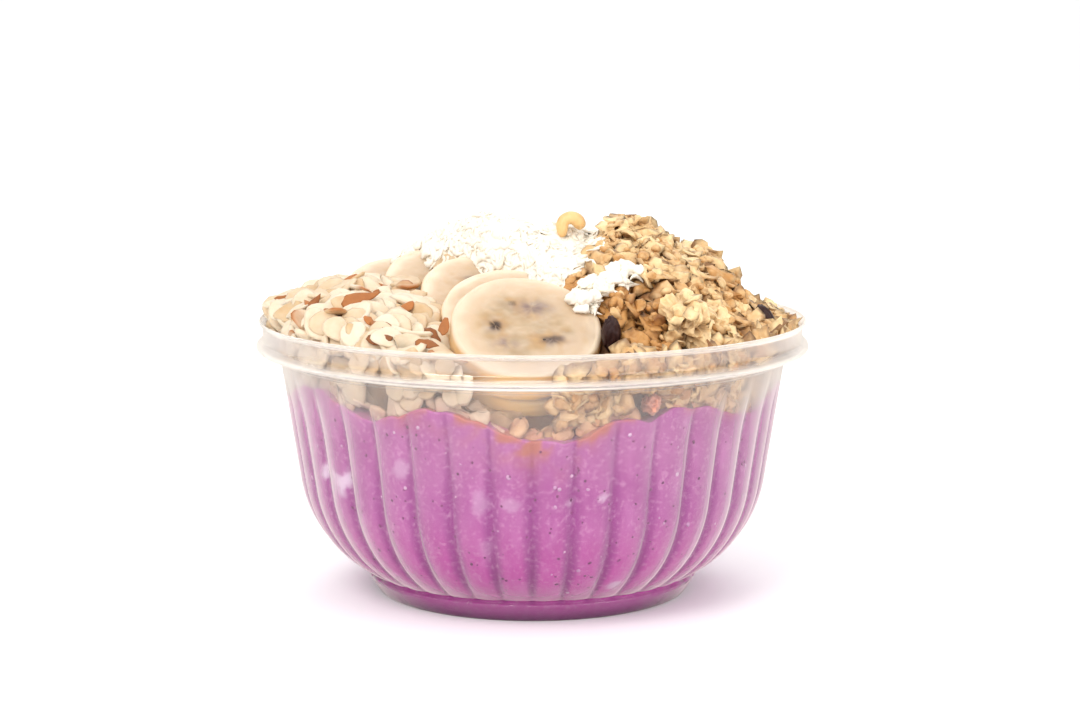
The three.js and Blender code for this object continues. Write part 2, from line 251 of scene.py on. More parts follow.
def make_piece(
    name: str, surface: Surface, finish: "Finish", stands_for: tuple[str, ...] = (), smooth: bool = True
) -> None:
    """Makes an object of a surface, dresses it and lets it ride on the part.

    Args:
        name: the piece's name.
        surface: its surface, in millimetres.
        finish: what it is made of.
        stands_for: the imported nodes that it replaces.
        smooth: whether its faces are shaded as one round surface.
    """
    mesh = bpy.data.meshes.new(name)
    corners = np.concatenate([surface.quads.ravel(), surface.triangles.ravel()]).astype(np.int32)
    counts = np.concatenate([np.full(len(surface.quads), 4), np.full(len(surface.triangles), 3)])
    starts = np.concatenate([[0], np.cumsum(counts)[:-1]]).astype(np.int32)
    mesh.vertices.add(len(surface.vertices))
    mesh.vertices.foreach_set("co", (surface.vertices * MM).astype(np.float32).ravel())
    mesh.loops.add(len(corners))
    mesh.loops.foreach_set("vertex_index", corners)
    mesh.polygons.add(len(counts))
    mesh.polygons.foreach_set("loop_start", starts)
    mesh.update(calc_edges=True)
    mesh.polygons.foreach_set("use_smooth", np.full(len(counts), smooth))
    for key, values in surface.marks.items():
        flat = values.ndim == 1
        layer = mesh.attributes.new(key, "FLOAT" if flat else "FLOAT_VECTOR", "POINT")
        layer.data.foreach_set("value" if flat else "vector", values.astype(np.float32).ravel())
    mesh.validate()
    piece = bpy.data.objects.new(name, mesh)
    bpy.context.scene.collection.objects.link(piece)
    mesh.materials.append(finish.material())
    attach(piece, "root")
    if stands_for:
        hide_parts(*stands_for)
    log.info("%s: %d faces", name, len(counts))


# ---------------------------------------------------------------- finishes


def colour(code: str) -> Colour:
    """An sRGB hex colour as the linear numbers that a shader takes."""
    channels = [int(code[i : i + 2], 16) / 255 for i in (1, 3, 5)]
    return (*(c / 12.92 if c <= 0.04045 else ((c + 0.055) / 1.055) ** 2.4 for c in channels), 1.0)


def per_mm(size: float) -> float:
    """The scale of a pattern whose features measure size millimetres, on Object coordinates, in metres."""
    return 1 / (size * MM)


def add_node(tree: Tree, kind: str, inputs: dict | None = None, **settings: object) -> Node:
    """Adds a node with its settings, its numbers and its links.

    Args:
        tree: the material's nodes.
        kind: the node's type, without the ShaderNode in front of it.
        inputs: socket name or number to a number, a socket that feeds it, or a node whose first output does.
        **settings: the node's own settings.

    Returns:
        The node.
    """
    node = tree.nodes.new(f"ShaderNode{kind}")
    for key, value in settings.items():
        setattr(node, key, value)
    for socket, value in (inputs or {}).items():
        source = value.outputs[0] if isinstance(value, Node) else value
        if isinstance(source, Socket):
            tree.links.new(source, node.inputs[socket])
        else:
            node.inputs[socket].default_value = source
    return node


MIX_FACTOR, MIX_A, MIX_B, MIX_RESULT = 0, 6, 7, 2  # sockets of a Mix node that blends colours


def tinted(tree: Tree, body: Socket | Colour, share: str | Node, code: str) -> Socket:
    """Lays a tint over a colour.

    Args:
        tree: the material's nodes.
        body: the colour so far.
        share: how far the tint covers it, from 0 to 1: the name of one of the piece's marks, or a node.
        code: the tint.

    Returns:
        The colour with the tint on it.
    """
    if isinstance(share, str):
        share = add_node(tree, "Attribute", attribute_name=share).outputs["Fac"]
    sockets = {MIX_FACTOR: share, MIX_A: body, MIX_B: colour(code)}
    return add_node(tree, "Mix", sockets, data_type="RGBA").outputs[MIX_RESULT]


@dataclass(frozen=True)
class Finish:
    """What a piece is made of. Each real material is a subclass that lays its own pattern."""

    name: str = "finish"
    slot: str = ""

    def material(self) -> bpy.types.Material:
        """The material of this finish, made once.

        Returns:
            The material.
        """
        made = bpy.data.materials.get(self.name)
        if made:
            return made
        made = bpy.data.materials.new(self.name)
        made.use_nodes = True
        tree = made.node_tree
        tree.nodes.clear()
        place = add_node(tree, "TexCoord").outputs["Object"]
        add_node(tree, "OutputMaterial", {"Surface": self.dress(tree, place)})
        return made

    def dress(self, tree: Tree, place: Socket) -> Node:
        """Lays the nodes over the piece's own places, and returns the shader.

        Args:
            tree: the material's nodes.
            place: the piece's own coordinates.

        Returns:
            The shader.
        """
        raise NotImplementedError


@dataclass(frozen=True)
class ThermoformedPlastic(Finish):
    """Clear PET sheet, vacuum-formed: glossy and colourless.

    A milky haze lies where the sheet bends. On the bead and the lip it is whiter, as a painted highlight, and at
    grazing angles a white haze is a painted sheen. Light goes straight through to the food.
    """

    name: str = "clear_pet"
    slot: str = "clear_plastic"
    ior: float = 1.5
    roughness: float = 0.06
    clear: str = "#FCFBFA"
    shade: str = "#FAF9F8"
    milk: str = "#D6CCCA"
    # the whiter milk of the painted highlights on the bead and the lip, and of the painted sheen at grazing angles
    crease: str = "#F8F4EE"
    grazing_blend: float = 0.35
    grazing_power: float = 2.2
    sheen_white: float = 2.0
    sheen_haze: float = 2.5
    ripple_mm: float = 7.0
    ripple_depth: float = 0.03

    def dress(self, tree: Tree, place: Socket) -> Node:
        """A clear dielectric under haze: haze = a factor * facing^power, a painted sheen at grazing angles, + the
        piece's own haze, which holds the painted highlights on the bead and the lip.

        Args:
            tree: the material's nodes.
            place: the piece's own coordinates.

        Returns:
            The shader.
        """
        ripple = add_node(tree, "TexNoise", {"Vector": place, "Scale": per_mm(self.ripple_mm), "Detail": 1.0})
        bump = add_node(tree, "Bump", {"Height": ripple, "Distance": self.ripple_depth * MM, "Strength": 0.6})
        plastic = add_node(
            tree, "BsdfPrincipled",
            {
                "Base Color": colour(self.clear), "Roughness": self.roughness, "IOR": self.ior,
                "Transmission Weight": 1.0, "Normal": bump,
            },
        )
        # painted sheen: the sheet turns to white haze at grazing angles
        facing = add_node(tree, "LayerWeight", {"Blend": self.grazing_blend}).outputs["Facing"]
        grazing_sheen = add_node(tree, "Math", {0: facing, 1: self.grazing_power}, operation="POWER")
        clamped = {"operation": "MULTIPLY_ADD", "use_clamp": True}
        crease = add_node(tree, "Attribute", attribute_name="crease").outputs["Fac"]
        white = add_node(tree, "Math", {0: grazing_sheen, 1: self.sheen_white, 2: crease}, **clamped)
        milk = tinted(tree, colour(self.milk), white, self.crease)
        milky = add_node(tree, "BsdfDiffuse", {"Color": milk})
        through = add_node(tree, "BsdfTranslucent", {"Color": milk})
        scatter = add_node(tree, "MixShader", {0: 0.5, 1: milky, 2: through})
        # the piece's own haze, with painted highlights on the bead and the lip
        haze = add_node(tree, "Attribute", attribute_name="haze").outputs["Fac"]
        amount = add_node(tree, "Math", {0: grazing_sheen, 1: self.sheen_haze, 2: haze}, **clamped)
        sheet = add_node(tree, "MixShader", {0: amount, 1: plastic, 2: scatter})
        clear = add_node(tree, "BsdfTransparent", {"Color": colour(self.shade)})
        shadow = add_node(tree, "LightPath").outputs["Is Shadow Ray"]
        return add_node(tree, "MixShader", {0: shadow, 1: sheet, 2: clear})


@dataclass(frozen=True)
class FruitSmoothie(Finish):
    """Blended dragon fruit: dense pink puree, faintly cloudy, with light pulp and tints under the toppings. Its
    grooves and foot carry painted shade, its lower part painted light, and its lobes painted reflections.
    """

    name: str = "dragon_fruit_puree"
    slot: str = "pink_smoothie"
    pink: str = "#B669A6"
    deep: str = "#AA5299"
    pale: str = "#D691C8"
    # painted shade in the grooves, where the lobes turn away from the light
    groove: str = "#98348A"
    stained: str = "#BC7458"
    # painted shade on the foot
    base: str = "#6C3361"
    # painted light: a brighter, deeper pink that lifts the lower part out of the shade there
    painted_light_pink: str = "#D657B6"
    froth: str = "#DDABCF"
    # painted reflections: the pale tint of the patches that glint on the lobes
    clot: str = "#E2CFE2"
    cloud_mm: float = 14.0
    streak_mm: float = 3.5
    froth_mm: float = 1.1

    def dress(self, tree: Tree, place: Socket) -> Node:
        """Clouds of two pinks, long pale streaks, froth, and a tint for each of the piece's marks, among them
        painted shade, painted light and painted reflections.

        Args:
            tree: the material's nodes.
            place: the piece's own coordinates.

        Returns:
            The shader.
        """
        cloud = add_node(tree, "TexNoise", {"Vector": place, "Scale": per_mm(self.cloud_mm), "Detail": 3.0})
        spread = add_node(tree, "MapRange", {"Value": cloud, "From Min": 0.35, "From Max": 0.68})
        pinks = tinted(tree, colour(self.deep), spread, self.pink)
        # painted light lower down
        body = tinted(tree, pinks, "depth", self.painted_light_pink)
        drawn = add_node(tree, "Mapping", {"Vector": place, "Scale": (1.0, 1.0, 0.25)})
        streak = add_node(tree, "TexNoise", {"Vector": drawn, "Scale": per_mm(self.streak_mm), "Detail": 2.0})
        lift = add_node(tree, "MapRange", {"Value": streak, "From Min": 0.52, "From Max": 0.8, "To Max": 0.35})
        streaked = tinted(tree, body, lift, self.pale)
        # painted shade along the grooves
        shaded = tinted(tree, streaked, "groove", self.groove)
        froth = add_node(tree, "TexNoise", {"Vector": place, "Scale": per_mm(self.froth_mm), "Detail": 3.0})
        speck = add_node(tree, "MapRange", {"Value": froth, "From Min": 0.52, "From Max": 0.75, "To Max": 0.4})
        final = tinted(tree, shaded, speck, self.froth)
        # painted reflections, painted shade on the foot, then the real stain
        for mark, tint in (("clot", self.clot), ("low", self.base), ("stain", self.stained)):
            final = tinted(tree, final, mark, tint)
        return add_node(
            tree, "BsdfPrincipled",
            {
                "Base Color": final, "Roughness": 0.5, "IOR": 1.36,
                "Subsurface Weight": 0.12, "Subsurface Radius": (3.0, 1.4, 2.2), "Subsurface Scale": MM,
            },
        )


@dataclass(frozen=True)
class TonedFood(Finish):
    """Dry or moist food in three tones: two that vary by piece and over each one, and one for its marks.

    The tone attribute is a random number for each piece, and the mark attribute says where the third one shows:
    real skin or cream on some pieces, painted shade in the hollows of others.
    """

    light: str = "#FFFFFF"
    dark: str = "#808080"
    mark: str = "#402010"
    grain_mm: float = 1.0
    grain_depth: float = 0.15
    roughness: float = 0.6
    glow: float = 0.1
    stained: str = "#E0A38C"
    scales_mm: float = 1.5
    scales: float = 0.0
    gloss: float = 0.5
    scatter: tuple[float, float, float] = (1.6, 1.1, 0.7)

    def dress(self, tree: Tree, place: Socket) -> Node:
        """Mixes the tones by piece and by grain, lays marks and stain over them, and raises the grain.

        Args:
            tree: the material's nodes.
            place: the piece's own coordinates.

        Returns:
            The shader.
        """
        tone = add_node(tree, "Attribute", attribute_name="tone").outputs["Fac"]
        grain = add_node(tree, "TexNoise", {"Vector": place, "Scale": per_mm(self.grain_mm * 2), "Detail": 4.0})
        share = add_node(tree, "Math", {0: grain, 1: 0.9, 2: tone}, operation="MULTIPLY_ADD")
        cells = add_node(tree, "TexVoronoi", {"Vector": place, "Scale": per_mm(self.scales_mm)})
        scaly = add_node(tree, "Math", {0: cells, 1: self.scales, 2: share}, operation="MULTIPLY_ADD")
        spread = add_node(tree, "MapRange", {"Value": scaly, "From Min": 0.4, "From Max": 1.6})
        body = tinted(tree, colour(self.light), spread, self.dark)
        marked = tinted(tree, body, "mark", self.mark)
        final = tinted(tree, marked, "stain", self.stained)
        relief = add_node(tree, "Math", {0: cells, 1: -self.scales, 2: grain}, operation="MULTIPLY_ADD")
        bump = add_node(tree, "Bump", {"Height": relief, "Distance": self.grain_depth * MM, "Strength": 1.0})
        return add_node(
            tree, "BsdfPrincipled",
            {
                "Base Color": final, "Roughness": self.roughness, "IOR": 1.4,
                "Subsurface Weight": self.glow, "Subsurface Radius": self.scatter, "Subsurface Scale": MM,
                "Specular IOR Level": self.gloss, "Normal": bump,
            },
        )


@dataclass(frozen=True)
class BananaFlesh(Finish):
    """Cut banana: moist satin cream flesh, paler at its rim, with mauve hearts and ochre round its seeds."""

    name: str = "banana_flesh_cut"
    slot: str = "banana_flesh"
    rim: str = "#E3D0B7"
    flesh: str = "#CAB195"
    core: str = "#A99274"
    heart: str = "#786468"
    ochre: str = "#B88E54"
    bed: str = "#2C1A10"
    # the golden side: the real outer flesh, brightened as painted light where the edge faces down into shade
    side: str = "#EEC07C"
    grain_mm: float = 1.6
    grain_depth: float = 0.12

    def dress(self, tree: Tree, place: Socket) -> Node:
        """Lays the tint named after each of the piece's marks, one over the other, on fine grain.

        Args:
            tree: the material's nodes.
            place: the piece's own coordinates.

        Returns:
            The shader.
        """
        grain = add_node(tree, "TexNoise", {"Vector": place, "Scale": per_mm(self.grain_mm), "Detail": 4.0})
        final = colour(self.flesh)
        for mark in ("rim", "core", "ochre", "heart", "bed", "side"):
            final = tinted(tree, final, mark, getattr(self, mark))
        bump = add_node(tree, "Bump", {"Height": grain, "Distance": self.grain_depth * MM, "Strength": 0.8})
        return add_node(
            tree, "BsdfPrincipled",
            {
                "Base Color": final, "Roughness": 0.42, "IOR": 1.38,
                "Subsurface Weight": 0.2, "Subsurface Radius": (2.4, 1.6, 0.9), "Subsurface Scale": MM,
                "Normal": bump,
            },
        )


@dataclass(frozen=True)
class PaleFloor(Finish):
    """Matte white board: flat and even, with the faintest tooth."""

    name: str = "white_board"
    tint: str = "#FFFFFF"
    tooth_mm: float = 2.0
    tooth_depth: float = 0.02

    def dress(self, tree: Tree, place: Socket) -> Node:
        """A plain matte white.

        Args:
            tree: the material's nodes.
            place: the piece's own coordinates.

        Returns:
            The shader.
        """
        tooth = add_node(tree, "TexNoise", {"Vector": place, "Scale": per_mm(self.tooth_mm), "Detail": 2.0})
        bump = add_node(tree, "Bump", {"Height": tooth, "Distance": self.tooth_depth * MM, "Strength": 0.3})
        return add_node(
            tree, "BsdfPrincipled", {"Base Color": colour(self.tint), "Roughness": 0.9, "Normal": bump}
        )


PET = ThermoformedPlastic()
PUREE = FruitSmoothie()
FLESH = BananaFlesh()
BOARD = PaleFloor()
# The slice pressed against the wall, its smooth golden side turned to it, in a brighter copy of the flesh: painted
# light on a slice in shade.
PAINTED_LIGHT_FLESH = BananaFlesh(name="banana_flesh_low", rim="#F2CE94", side="#FFD692", core="#D9B27C")
# Sliced almond kernel: cream, dry and faintly waxy.
ALMOND = TonedFood(
    "sliced_almond", "flaked_almond", light="#E2D2BA", dark="#C6A478", mark="#A9662F", grain_mm=1.2,
    grain_depth=0.15, roughness=0.5, glow=0.15, stained="#DDB0A2",
)
# Almond skin: dry, papery and orange-brown.
ALMOND_SKIN = TonedFood(
    "almond_skin", "flaked_almond", light="#BE7840", dark="#7A4826", mark="#5E3218", grain_mm=0.9,
    grain_depth=0.3, roughness=0.6, glow=0.05,
)
# Almond crumbs in the shade between the flakes, darkened as painted shade: rough, matte and brown.
ALMOND_BED = TonedFood(
    "almond_crumbs", "flaked_almond", light="#CDB08A", dark="#94714C", mark="#583820", grain_mm=2.0,
    grain_depth=0.6, roughness=0.7, glow=0.05,
)
# Desiccated coconut: white, dry and light-scattering, with a cream tint here and there.
COCONUT = TonedFood(
    "dried_coconut", "shredded_coconut", light="#F5EFE4", dark="#F0E8D8", mark="#E9D9BA", grain_mm=0.8,
    grain_depth=0.05, roughness=0.9, glow=0.0, gloss=0.2, stained="#F1CFC4",
)
# Rolled oats baked with syrup: pale golden scales, slightly glazed, with brown painted shade in the folds.
OATS = TonedFood(
    "toasted_oats", "toasted_granola", light="#F3D5A2", dark="#C18C50", mark="#6E3C1A", grain_mm=0.9,
    grain_depth=0.55, roughness=0.5, glow=0.04, stained="#D89C88", scales_mm=1.7, scales=0.5,
)
# A crumb soaked in the smoothie: soft, moist and salmon pink.
SOAKED = TonedFood(
    "soaked_crumb", "toasted_granola", light="#EBAE97", dark="#D98874", mark="#B8605A", grain_mm=1.0,
    grain_depth=0.3, roughness=0.45, glow=0.2,
)
# Oat crumbs in the shade between the clusters, darkened as painted shade: rough, matte and dark.
OAT_BED = TonedFood(
    "toasted_crumbs", "toasted_granola", light="#7E5630", dark="#4C2E18", mark="#2A180C", grain_mm=1.6,
    grain_depth=0.7, roughness=0.65, glow=0.0,
)
# Dried grape: almost black, wrinkled, with a dull gloss.
RAISIN = TonedFood(
    "wrinkled_raisin", "raisin_skin", light="#3A2220", dark="#1E110F", mark="#4A3430", grain_mm=0.7,
    grain_depth=0.25, roughness=0.4, glow=0.0, gloss=0.3,
)
# Roasted cashew: golden and satin, browner where it dips, as painted shade.
NUT = TonedFood(
    "roasted_cashew", "roasted_nut", light="#EBC68C", dark="#D19F5C", mark="#A06A34", grain_mm=1.4,
    grain_depth=0.12, roughness=0.42, glow=0.1,
)
# Dragon fruit seeds under a film of puree: small, purple and glossy.
SEED = TonedFood(
    "fruit_seed", "pink_smoothie", light="#9A4686", dark="#6A2A5C", mark="#20141C", grain_mm=0.4,
    grain_depth=0.02, roughness=0.35, glow=0.0,
)
# Bits of white pulp in the puree: moist and pale pink.
PULP = TonedFood(
    "fruit_pulp", "pink_smoothie", light="#DDB8D4", dark="#C58ABA", mark="#FFFFFF", grain_mm=0.9,
    grain_depth=0.05, roughness=0.45, glow=0.2,
)
# Banana seeds: tiny, dark brown and matte.
HEART_SEED = TonedFood(
    "banana_seed", "banana_flesh", light="#4C3A30", dark="#2A1C16", mark="#2A1C16", grain_mm=0.4,
    grain_depth=0.05, roughness=0.5, glow=0.0,
)


# ---------------------------------------------------------------- the bowl and the smoothie


@dataclass(frozen=True)
class BowlForm:
    """The curves that the bowl's wall follows, which everything inside it fits.

    draft is how far the side leans out for each millimetre of height, above an arc of bend_radius. The flutes keep
    their full depth up to flutes_fade_from.
    """

    wall: float = 0.5
    recess: float = 1.5
    foot_ring: float = 33.0
    foot_radius: float = 40.3
    foot_top: float = 42.9
    foot_height: float = 4.7
    top_radius: float = 64.9
    top_height: float = 60.5
    draft: float = 0.155
    bend_radius: float = 33.0
    bend_height: float = 30.0
    bead_radius: float = 71.0
    bead_height: float = 64.0
    band_radius: float = 69.4
    lip_radius: float = 70.3
    height: float = 71.0
    flutes: int = 38
    flute_depth: float = 1.3
    flute_sharpness: float = 0.7
    flutes_fade_from: float = 46.0
    # Room for toppings above the side, past the ledge, bead, band and lip: heights, then radii.
    room_heights: tuple[float, ...] = (60.5, 62.2, 63.6, 65.5, 71.2, 71.8)
    room_radii: tuple[float, ...] = (64.1, 65.4, 69.0, 68.7, 68.5, 75.0)

    def side(self, z: Array, inset: float = 0.0) -> Array:
        """Radius of the lobes at a height: a straight draft above an arc tangent to it, both offset inwards.

        Args:
            z: the height.
            inset: how far inside the outer face.

        Returns:
            The radius.
        """
        z = np.asarray(z, float)
        slant = math.hypot(1, self.draft)
        bend_x = self.top_radius - (self.top_height - self.bend_height) * self.draft
        centre_x = bend_x - self.bend_radius / slant
        drop = self.bend_height + self.bend_radius * self.draft / slant - z
        bend = self.bend_radius - inset
        arc = centre_x + np.sqrt(np.maximum(bend**2 - drop**2, 0))
        straight = self.top_radius - (self.top_height - z) * self.draft - inset * slant
        return np.where(drop > bend * self.draft / slant, arc, straight)

    def depth(self, z: Array) -> Array:
        """How deep the grooves are at a height: they start at the foot and fade out under the ledge.

        Args:
            z: the height.

        Returns:
            The depth.
        """
        rise = 0.35 + 0.65 * smoothstep(self.foot_height - 1, self.foot_height + 6, z)
        fade = 1 - smoothstep(self.flutes_fade_from, self.top_height, z)
        return self.flute_depth * rise * fade * (z > self.foot_height - 0.3)

    def groove(self, angle: Array) -> Array:
        """Share of the grooves' depth at an angle, narrow between broad lobes: 1 - |sin(n a / 2)|^p."""
        return 1 - np.abs(np.sin(self.flutes * angle / 2)) ** self.flute_sharpness

    def wall_radius(self, angle: Array, z: Array, inset: float) -> Array:
        """Radius of the fluted side at an angle and a height, measured inset inside its outer face."""
        return self.side(z, inset) - self.depth(z) * self.groove(angle)

    def room(self, z: Array) -> Array:
        """Radius that is free for toppings at a height, clear of the grooves, ledge, band and lip."""
        above = np.interp(z, self.room_heights, self.room_radii)
        return np.where(z < self.top_height, self.side(z, self.wall + 0.1) - self.depth(z), above)

    def angles(self) -> Array:
        """The angles of the fine surfaces' columns, with one on each groove's bottom."""
        return np.arange(self.flutes * FLUTE_SAMPLES) * TAU / (self.flutes * FLUTE_SAMPLES)


def rounded(path: Array, rounds: int = 2) -> Array:
    """A path with its corners cut: each round keeps points at a quarter and three quarters of a stretch.

    Args:
        path: its points.
        rounds: how many rounds.

    Returns:
        The rounder path.
    """
    for _ in range(rounds):
        a, b = path[:-1], path[1:]
        cut = np.stack([0.75 * a + 0.25 * b, 0.25 * a + 0.75 * b], axis=1).reshape(-1, path.shape[1])
        path = np.concatenate([path[:1], cut, path[-1:]])
    return path


@dataclass
class PlasticBowl:
    """The thin clear bowl: base, foot, fluted side, ledge, bead, lid band and flared lip, all of one sheet."""

    FROST_SEED = 7
    # the bright line along the bead is a painted highlight
    LINE_MM = 0.7  # half-width of the bright line along the bead, and of the clear one on either side of it

    form: BowlForm

    def sheet_path(self) -> Array:
        """The middle of the sheet as radius and height, from the base's centre to the lip.

        Returns:
            The path's points.
        """
        f, half = self.form, self.form.wall / 2
        base = rounded(np.array([
            [0.5, f.recess + half], [f.foot_ring - 4, f.recess + half], [f.foot_ring - 0.9, f.recess + half],
            [f.foot_ring + 0.3, half], [f.foot_ring + 2, half], [f.foot_radius - 0.7, half],
            [f.foot_radius - half, 0.45], [f.foot_top - half, f.foot_height],
        ]))
        bent = np.linspace(f.foot_height + 0.5, f.bend_height, 24)
        straight = np.linspace(f.bend_height + 2, f.top_height, 13)
        heights = np.concatenate([bent, straight])
        side = np.stack([f.side(heights, half), heights], axis=-1)
        bead, band = f.bead_height, f.band_radius - half
        rim = rounded(np.array([
            [f.top_radius - half + 0.1, f.top_height + 0.5], [f.top_radius + 0.3, bead - 2.1],
            [f.top_radius + 2, bead - 1.5], [f.bead_radius - 1.4, bead - 1.0],
            [f.bead_radius - half, bead - 0.5], [f.bead_radius - half, bead + 0.6],
            [band + 0.6, bead + 1.2], [band, bead + 1.8],
            [band, f.height - 2.2], [band + 0.1, f.height - 1.5], [f.lip_radius - half, f.height - 0.9],
            [f.lip_radius - half, f.height - 0.35],
        ]))
        return np.concatenate([base, side, rim])

    def surface(self) -> Surface:
        """The sheet's two faces, offset by half the wall along its normals, and turned round the axis.

        Returns:
            The closed sheet.
        """
        form, half = self.form, self.form.wall / 2
        path = self.sheet_path()
        along = unit(np.gradient(path, axis=0))
        normal = np.stack([along[:, 1], -along[:, 0]], axis=-1) * half
        tip = path[-1:] + along[-1:] * half
        profile = np.concatenate([path + normal, tip, (path - normal)[::-1]])
        angle = form.angles()[None, :]
        z = profile[:, 1:2]
        radius = profile[:, :1] - form.depth(z) * form.groove(angle) * (z > form.foot_height)
        rings = around(angle, radius, z)
        made = ring_solid(rings, np.array([0, 0, profile[0, 1]]), np.array([0, 0, profile[-1, 1]]))
        made.mark_rings(**self.marks(rings))
        return made

    def marks(self, rings: Array) -> dict[str, Array]:
        """How milky the sheet is, and how white its milk.

        Args:
            rings: the sheet's points.

        Returns:
            The haze, a sum of soft steps and bells over the height: more above the middle, frosted under the
            ledge, most on the bead and the lip, where it is a painted highlight, and least beside the bead and
            near the foot. The crease, which marks the bead and the lip with the whiter milk of the painted
            highlight.
        """
        z = rings[..., 2]
        off_bead = z - self.form.bead_height
        bead = np.exp(-((off_bead / self.LINE_MM) ** 2))
        beside = np.exp(-(((np.abs(off_bead) - 2 * self.LINE_MM) / self.LINE_MM) ** 2))
        lip = smoothstep(self.form.height - 1.6, self.form.height - 0.4, z)
        under = smoothstep(52, 57, z)
        band = smoothstep(62, 66, z)
        frost = 1 + 2 * SpaceNoise(self.FROST_SEED).at(rings * [1, 1, 0.2], 2.4)
        high = smoothstep(30, 50, z) * (1 - 0.55 * under) - 2.8 * smoothstep(24, 8, z)
        # painted highlights: the bells on the bead and the lip; beside clears the sheet on either side of the
        # bead's line
        haze = 0.01 + 0.1 * high + 0.03 * under * frost + 0.06 * band + 0.28 * bead + 0.2 * lip - 0.3 * beside
        return {"haze": haze, "crease": np.clip(bead + lip, 0, 1)}

    def build(self) -> None:
        """Makes the bowl."""
        make_piece("bowl_shell", self.surface(), PET, ("bowl",))


@dataclass
class Smoothie:
    """The smoothie: its body, the wavy level that the toppings press into it, its seeds and its pulp.

    level is its height between the dips, and inset how far inside the wall's outer face it stays. seeds and
    pulp are how many of each show.
    """

    form: BowlForm
    level: float = 57.5
    inset: float = 0.28
    wall_rows: int = 64
    seed: int = 11
    seeds: int = 520
    pulp: int = 150
    # Where toppings press the level down: degrees from the front, depth and half-width in degrees.
    dips: tuple[tuple[float, float, float], ...] = (
        (4, 9, 17), (-38, 5, 11), (-80, 5.5, 13), (-122, 4.5, 16), (-166, 5, 14), (56, 6, 15), (92, 5, 13),
        (134, 4.5, 17), (26.5, 2.6, 4.5),
    )
    # Painted reflections on the wall, soft pale patches: degrees from the front, height, half-size and how pale
    # each is.
    clots: tuple[tuple[float, float, float, float], ...] = (
        (-57, 36, 2.2, 1.0), (-50, 35, 3.4, 1.0), (-31, 41, 2.6, 0.4), (-12, 34, 2.8, 0.3), (-5, 33, 1.9, 0.3),
        (-11, 22, 2.4, 0.2), (16, 34.5, 1.7, 0.7), (9, 33.5, 1.6, 0.5), (24, 10.5, 1.9, 0.9), (44, 15, 1.9, 0.5),
        (-84, 22, 2.6, 0.7), (75, 33, 2.4, 0.6), (110, 27, 3.0, 0.8), (146, 40, 2.2, 0.7), (178, 20, 2.8, 0.7),
        (-112, 38, 2.5, 0.8), (-150, 29, 3.0, 0.8),
    )

    def __post_init__(self) -> None:
        """Draws the noise of the level's edge."""
        self.noise = SpaceNoise(self.seed)

    def wall_level(self, angle: Array, ragged: float = 1.0) -> Array:
        """Height of the smoothie at the wall: the level, less a bell curve for each dip, plus a ragged edge.

        Args:
            angle: angles from the front.
            ragged: how ragged the edge is.

        Returns:
            The heights.
        """
        level = np.full(np.shape(angle), self.level)
        for middle, depth, width in self.dips:
            away = (np.degrees(angle) - middle + 180) % 360 - 180
            level = level - depth * np.exp(-((away / width) ** 2))
        edge = around(angle, 60.0, 0.0)
        return level + ragged * (0.9 * self.noise.at(edge, 6.0) + 0.5 * self.noise.at(edge, 2.4))

    def clotted(self, points: Array) -> Array:
        """How much painted reflection shows at points: a pale bell for each patch, broken up by noise.

        Args:
            points: places on the body.

        Returns:
            Shares from 0 to 0.85.
        """
        amount = np.zeros(points.shape[:-1])
        ragged = 1 + 0.5 * self.noise.at(points, 2.6) + 0.35 * self.noise.at(points, 1.3)
        for degrees, height, size, pale in self.clots:
            radius = float(self.form.side(height))
            middle = around(math.radians(degrees), radius, height)
            away = np.linalg.norm(points - middle, axis=-1) / (size * ragged)
            amount = np.maximum(amount, pale * smoothstep(1.25, 0.55, away))
        return 0.85 * amount

    def surface(self) -> Surface:
        """The body: up the wall to the level, and in over the top, which calms towards the middle.

        Returns:
            The closed body.
        """
        f, inset = self.form, self.inset
        angle = f.angles()[None, :]
        level = self.wall_level(angle)
        bottom = np.array([
            [2.0, f.recess + inset], [f.foot_ring - 1.2, f.recess + inset], [f.foot_ring + 0.5, inset],
            [f.foot_radius - 0.7, inset], [f.foot_radius - inset, 0.6], [f.foot_top - inset, f.foot_height],
        ])
        start = f.foot_height + 0.6
        z = start + (level - start) * np.linspace(0, 1, self.wall_rows)[:, None]
        inward = np.array([0.993, 0.975, 0.93, 0.86, 0.7, 0.45, 0.2])[:, None]
        calm = np.array([1.0, 0.97, 0.85, 0.6, 0.35, 0.15, 0.05])[:, None]
        middle = self.level - 3
        rim = f.wall_radius(angle, level, inset)
        rings = np.concatenate([
            around(angle, bottom[:, :1], bottom[:, 1:]),
            around(angle, f.wall_radius(angle, z, inset), z),
            around(angle, rim * inward, middle + (level - middle) * calm),
        ])
        made = ring_solid(rings, np.array([0, 0, f.recess + inset]), np.array([0, 0, middle]))
        made.mark_rings(**self.marks(rings, level))
        # the pole under the base takes the foot's painted shade
        made.marks["low"][-2] = 0.6  # the pole under the base
        return made

    def marks(self, rings: Array, level: Array) -> dict[str, Array]:
        """Where each tint lies on the body.

        Args:
            rings: the body's points.
            level: the smoothie's height against the wall, for each column.

        Returns:
            Painted shade in the grooves, a wedge that is widest halfway down; pale patches of painted reflection;
            a patchy stain that fades below the level and is strongest in front; painted shade on the foot; and the
            depth below the middle, where painted light lifts the pink.
        """
        z, angle = rings[..., 2], angle_of(rings)
        edge = 0.75 - 0.42 * smoothstep(50, 30, z) + 0.25 * smoothstep(16, 6, z)
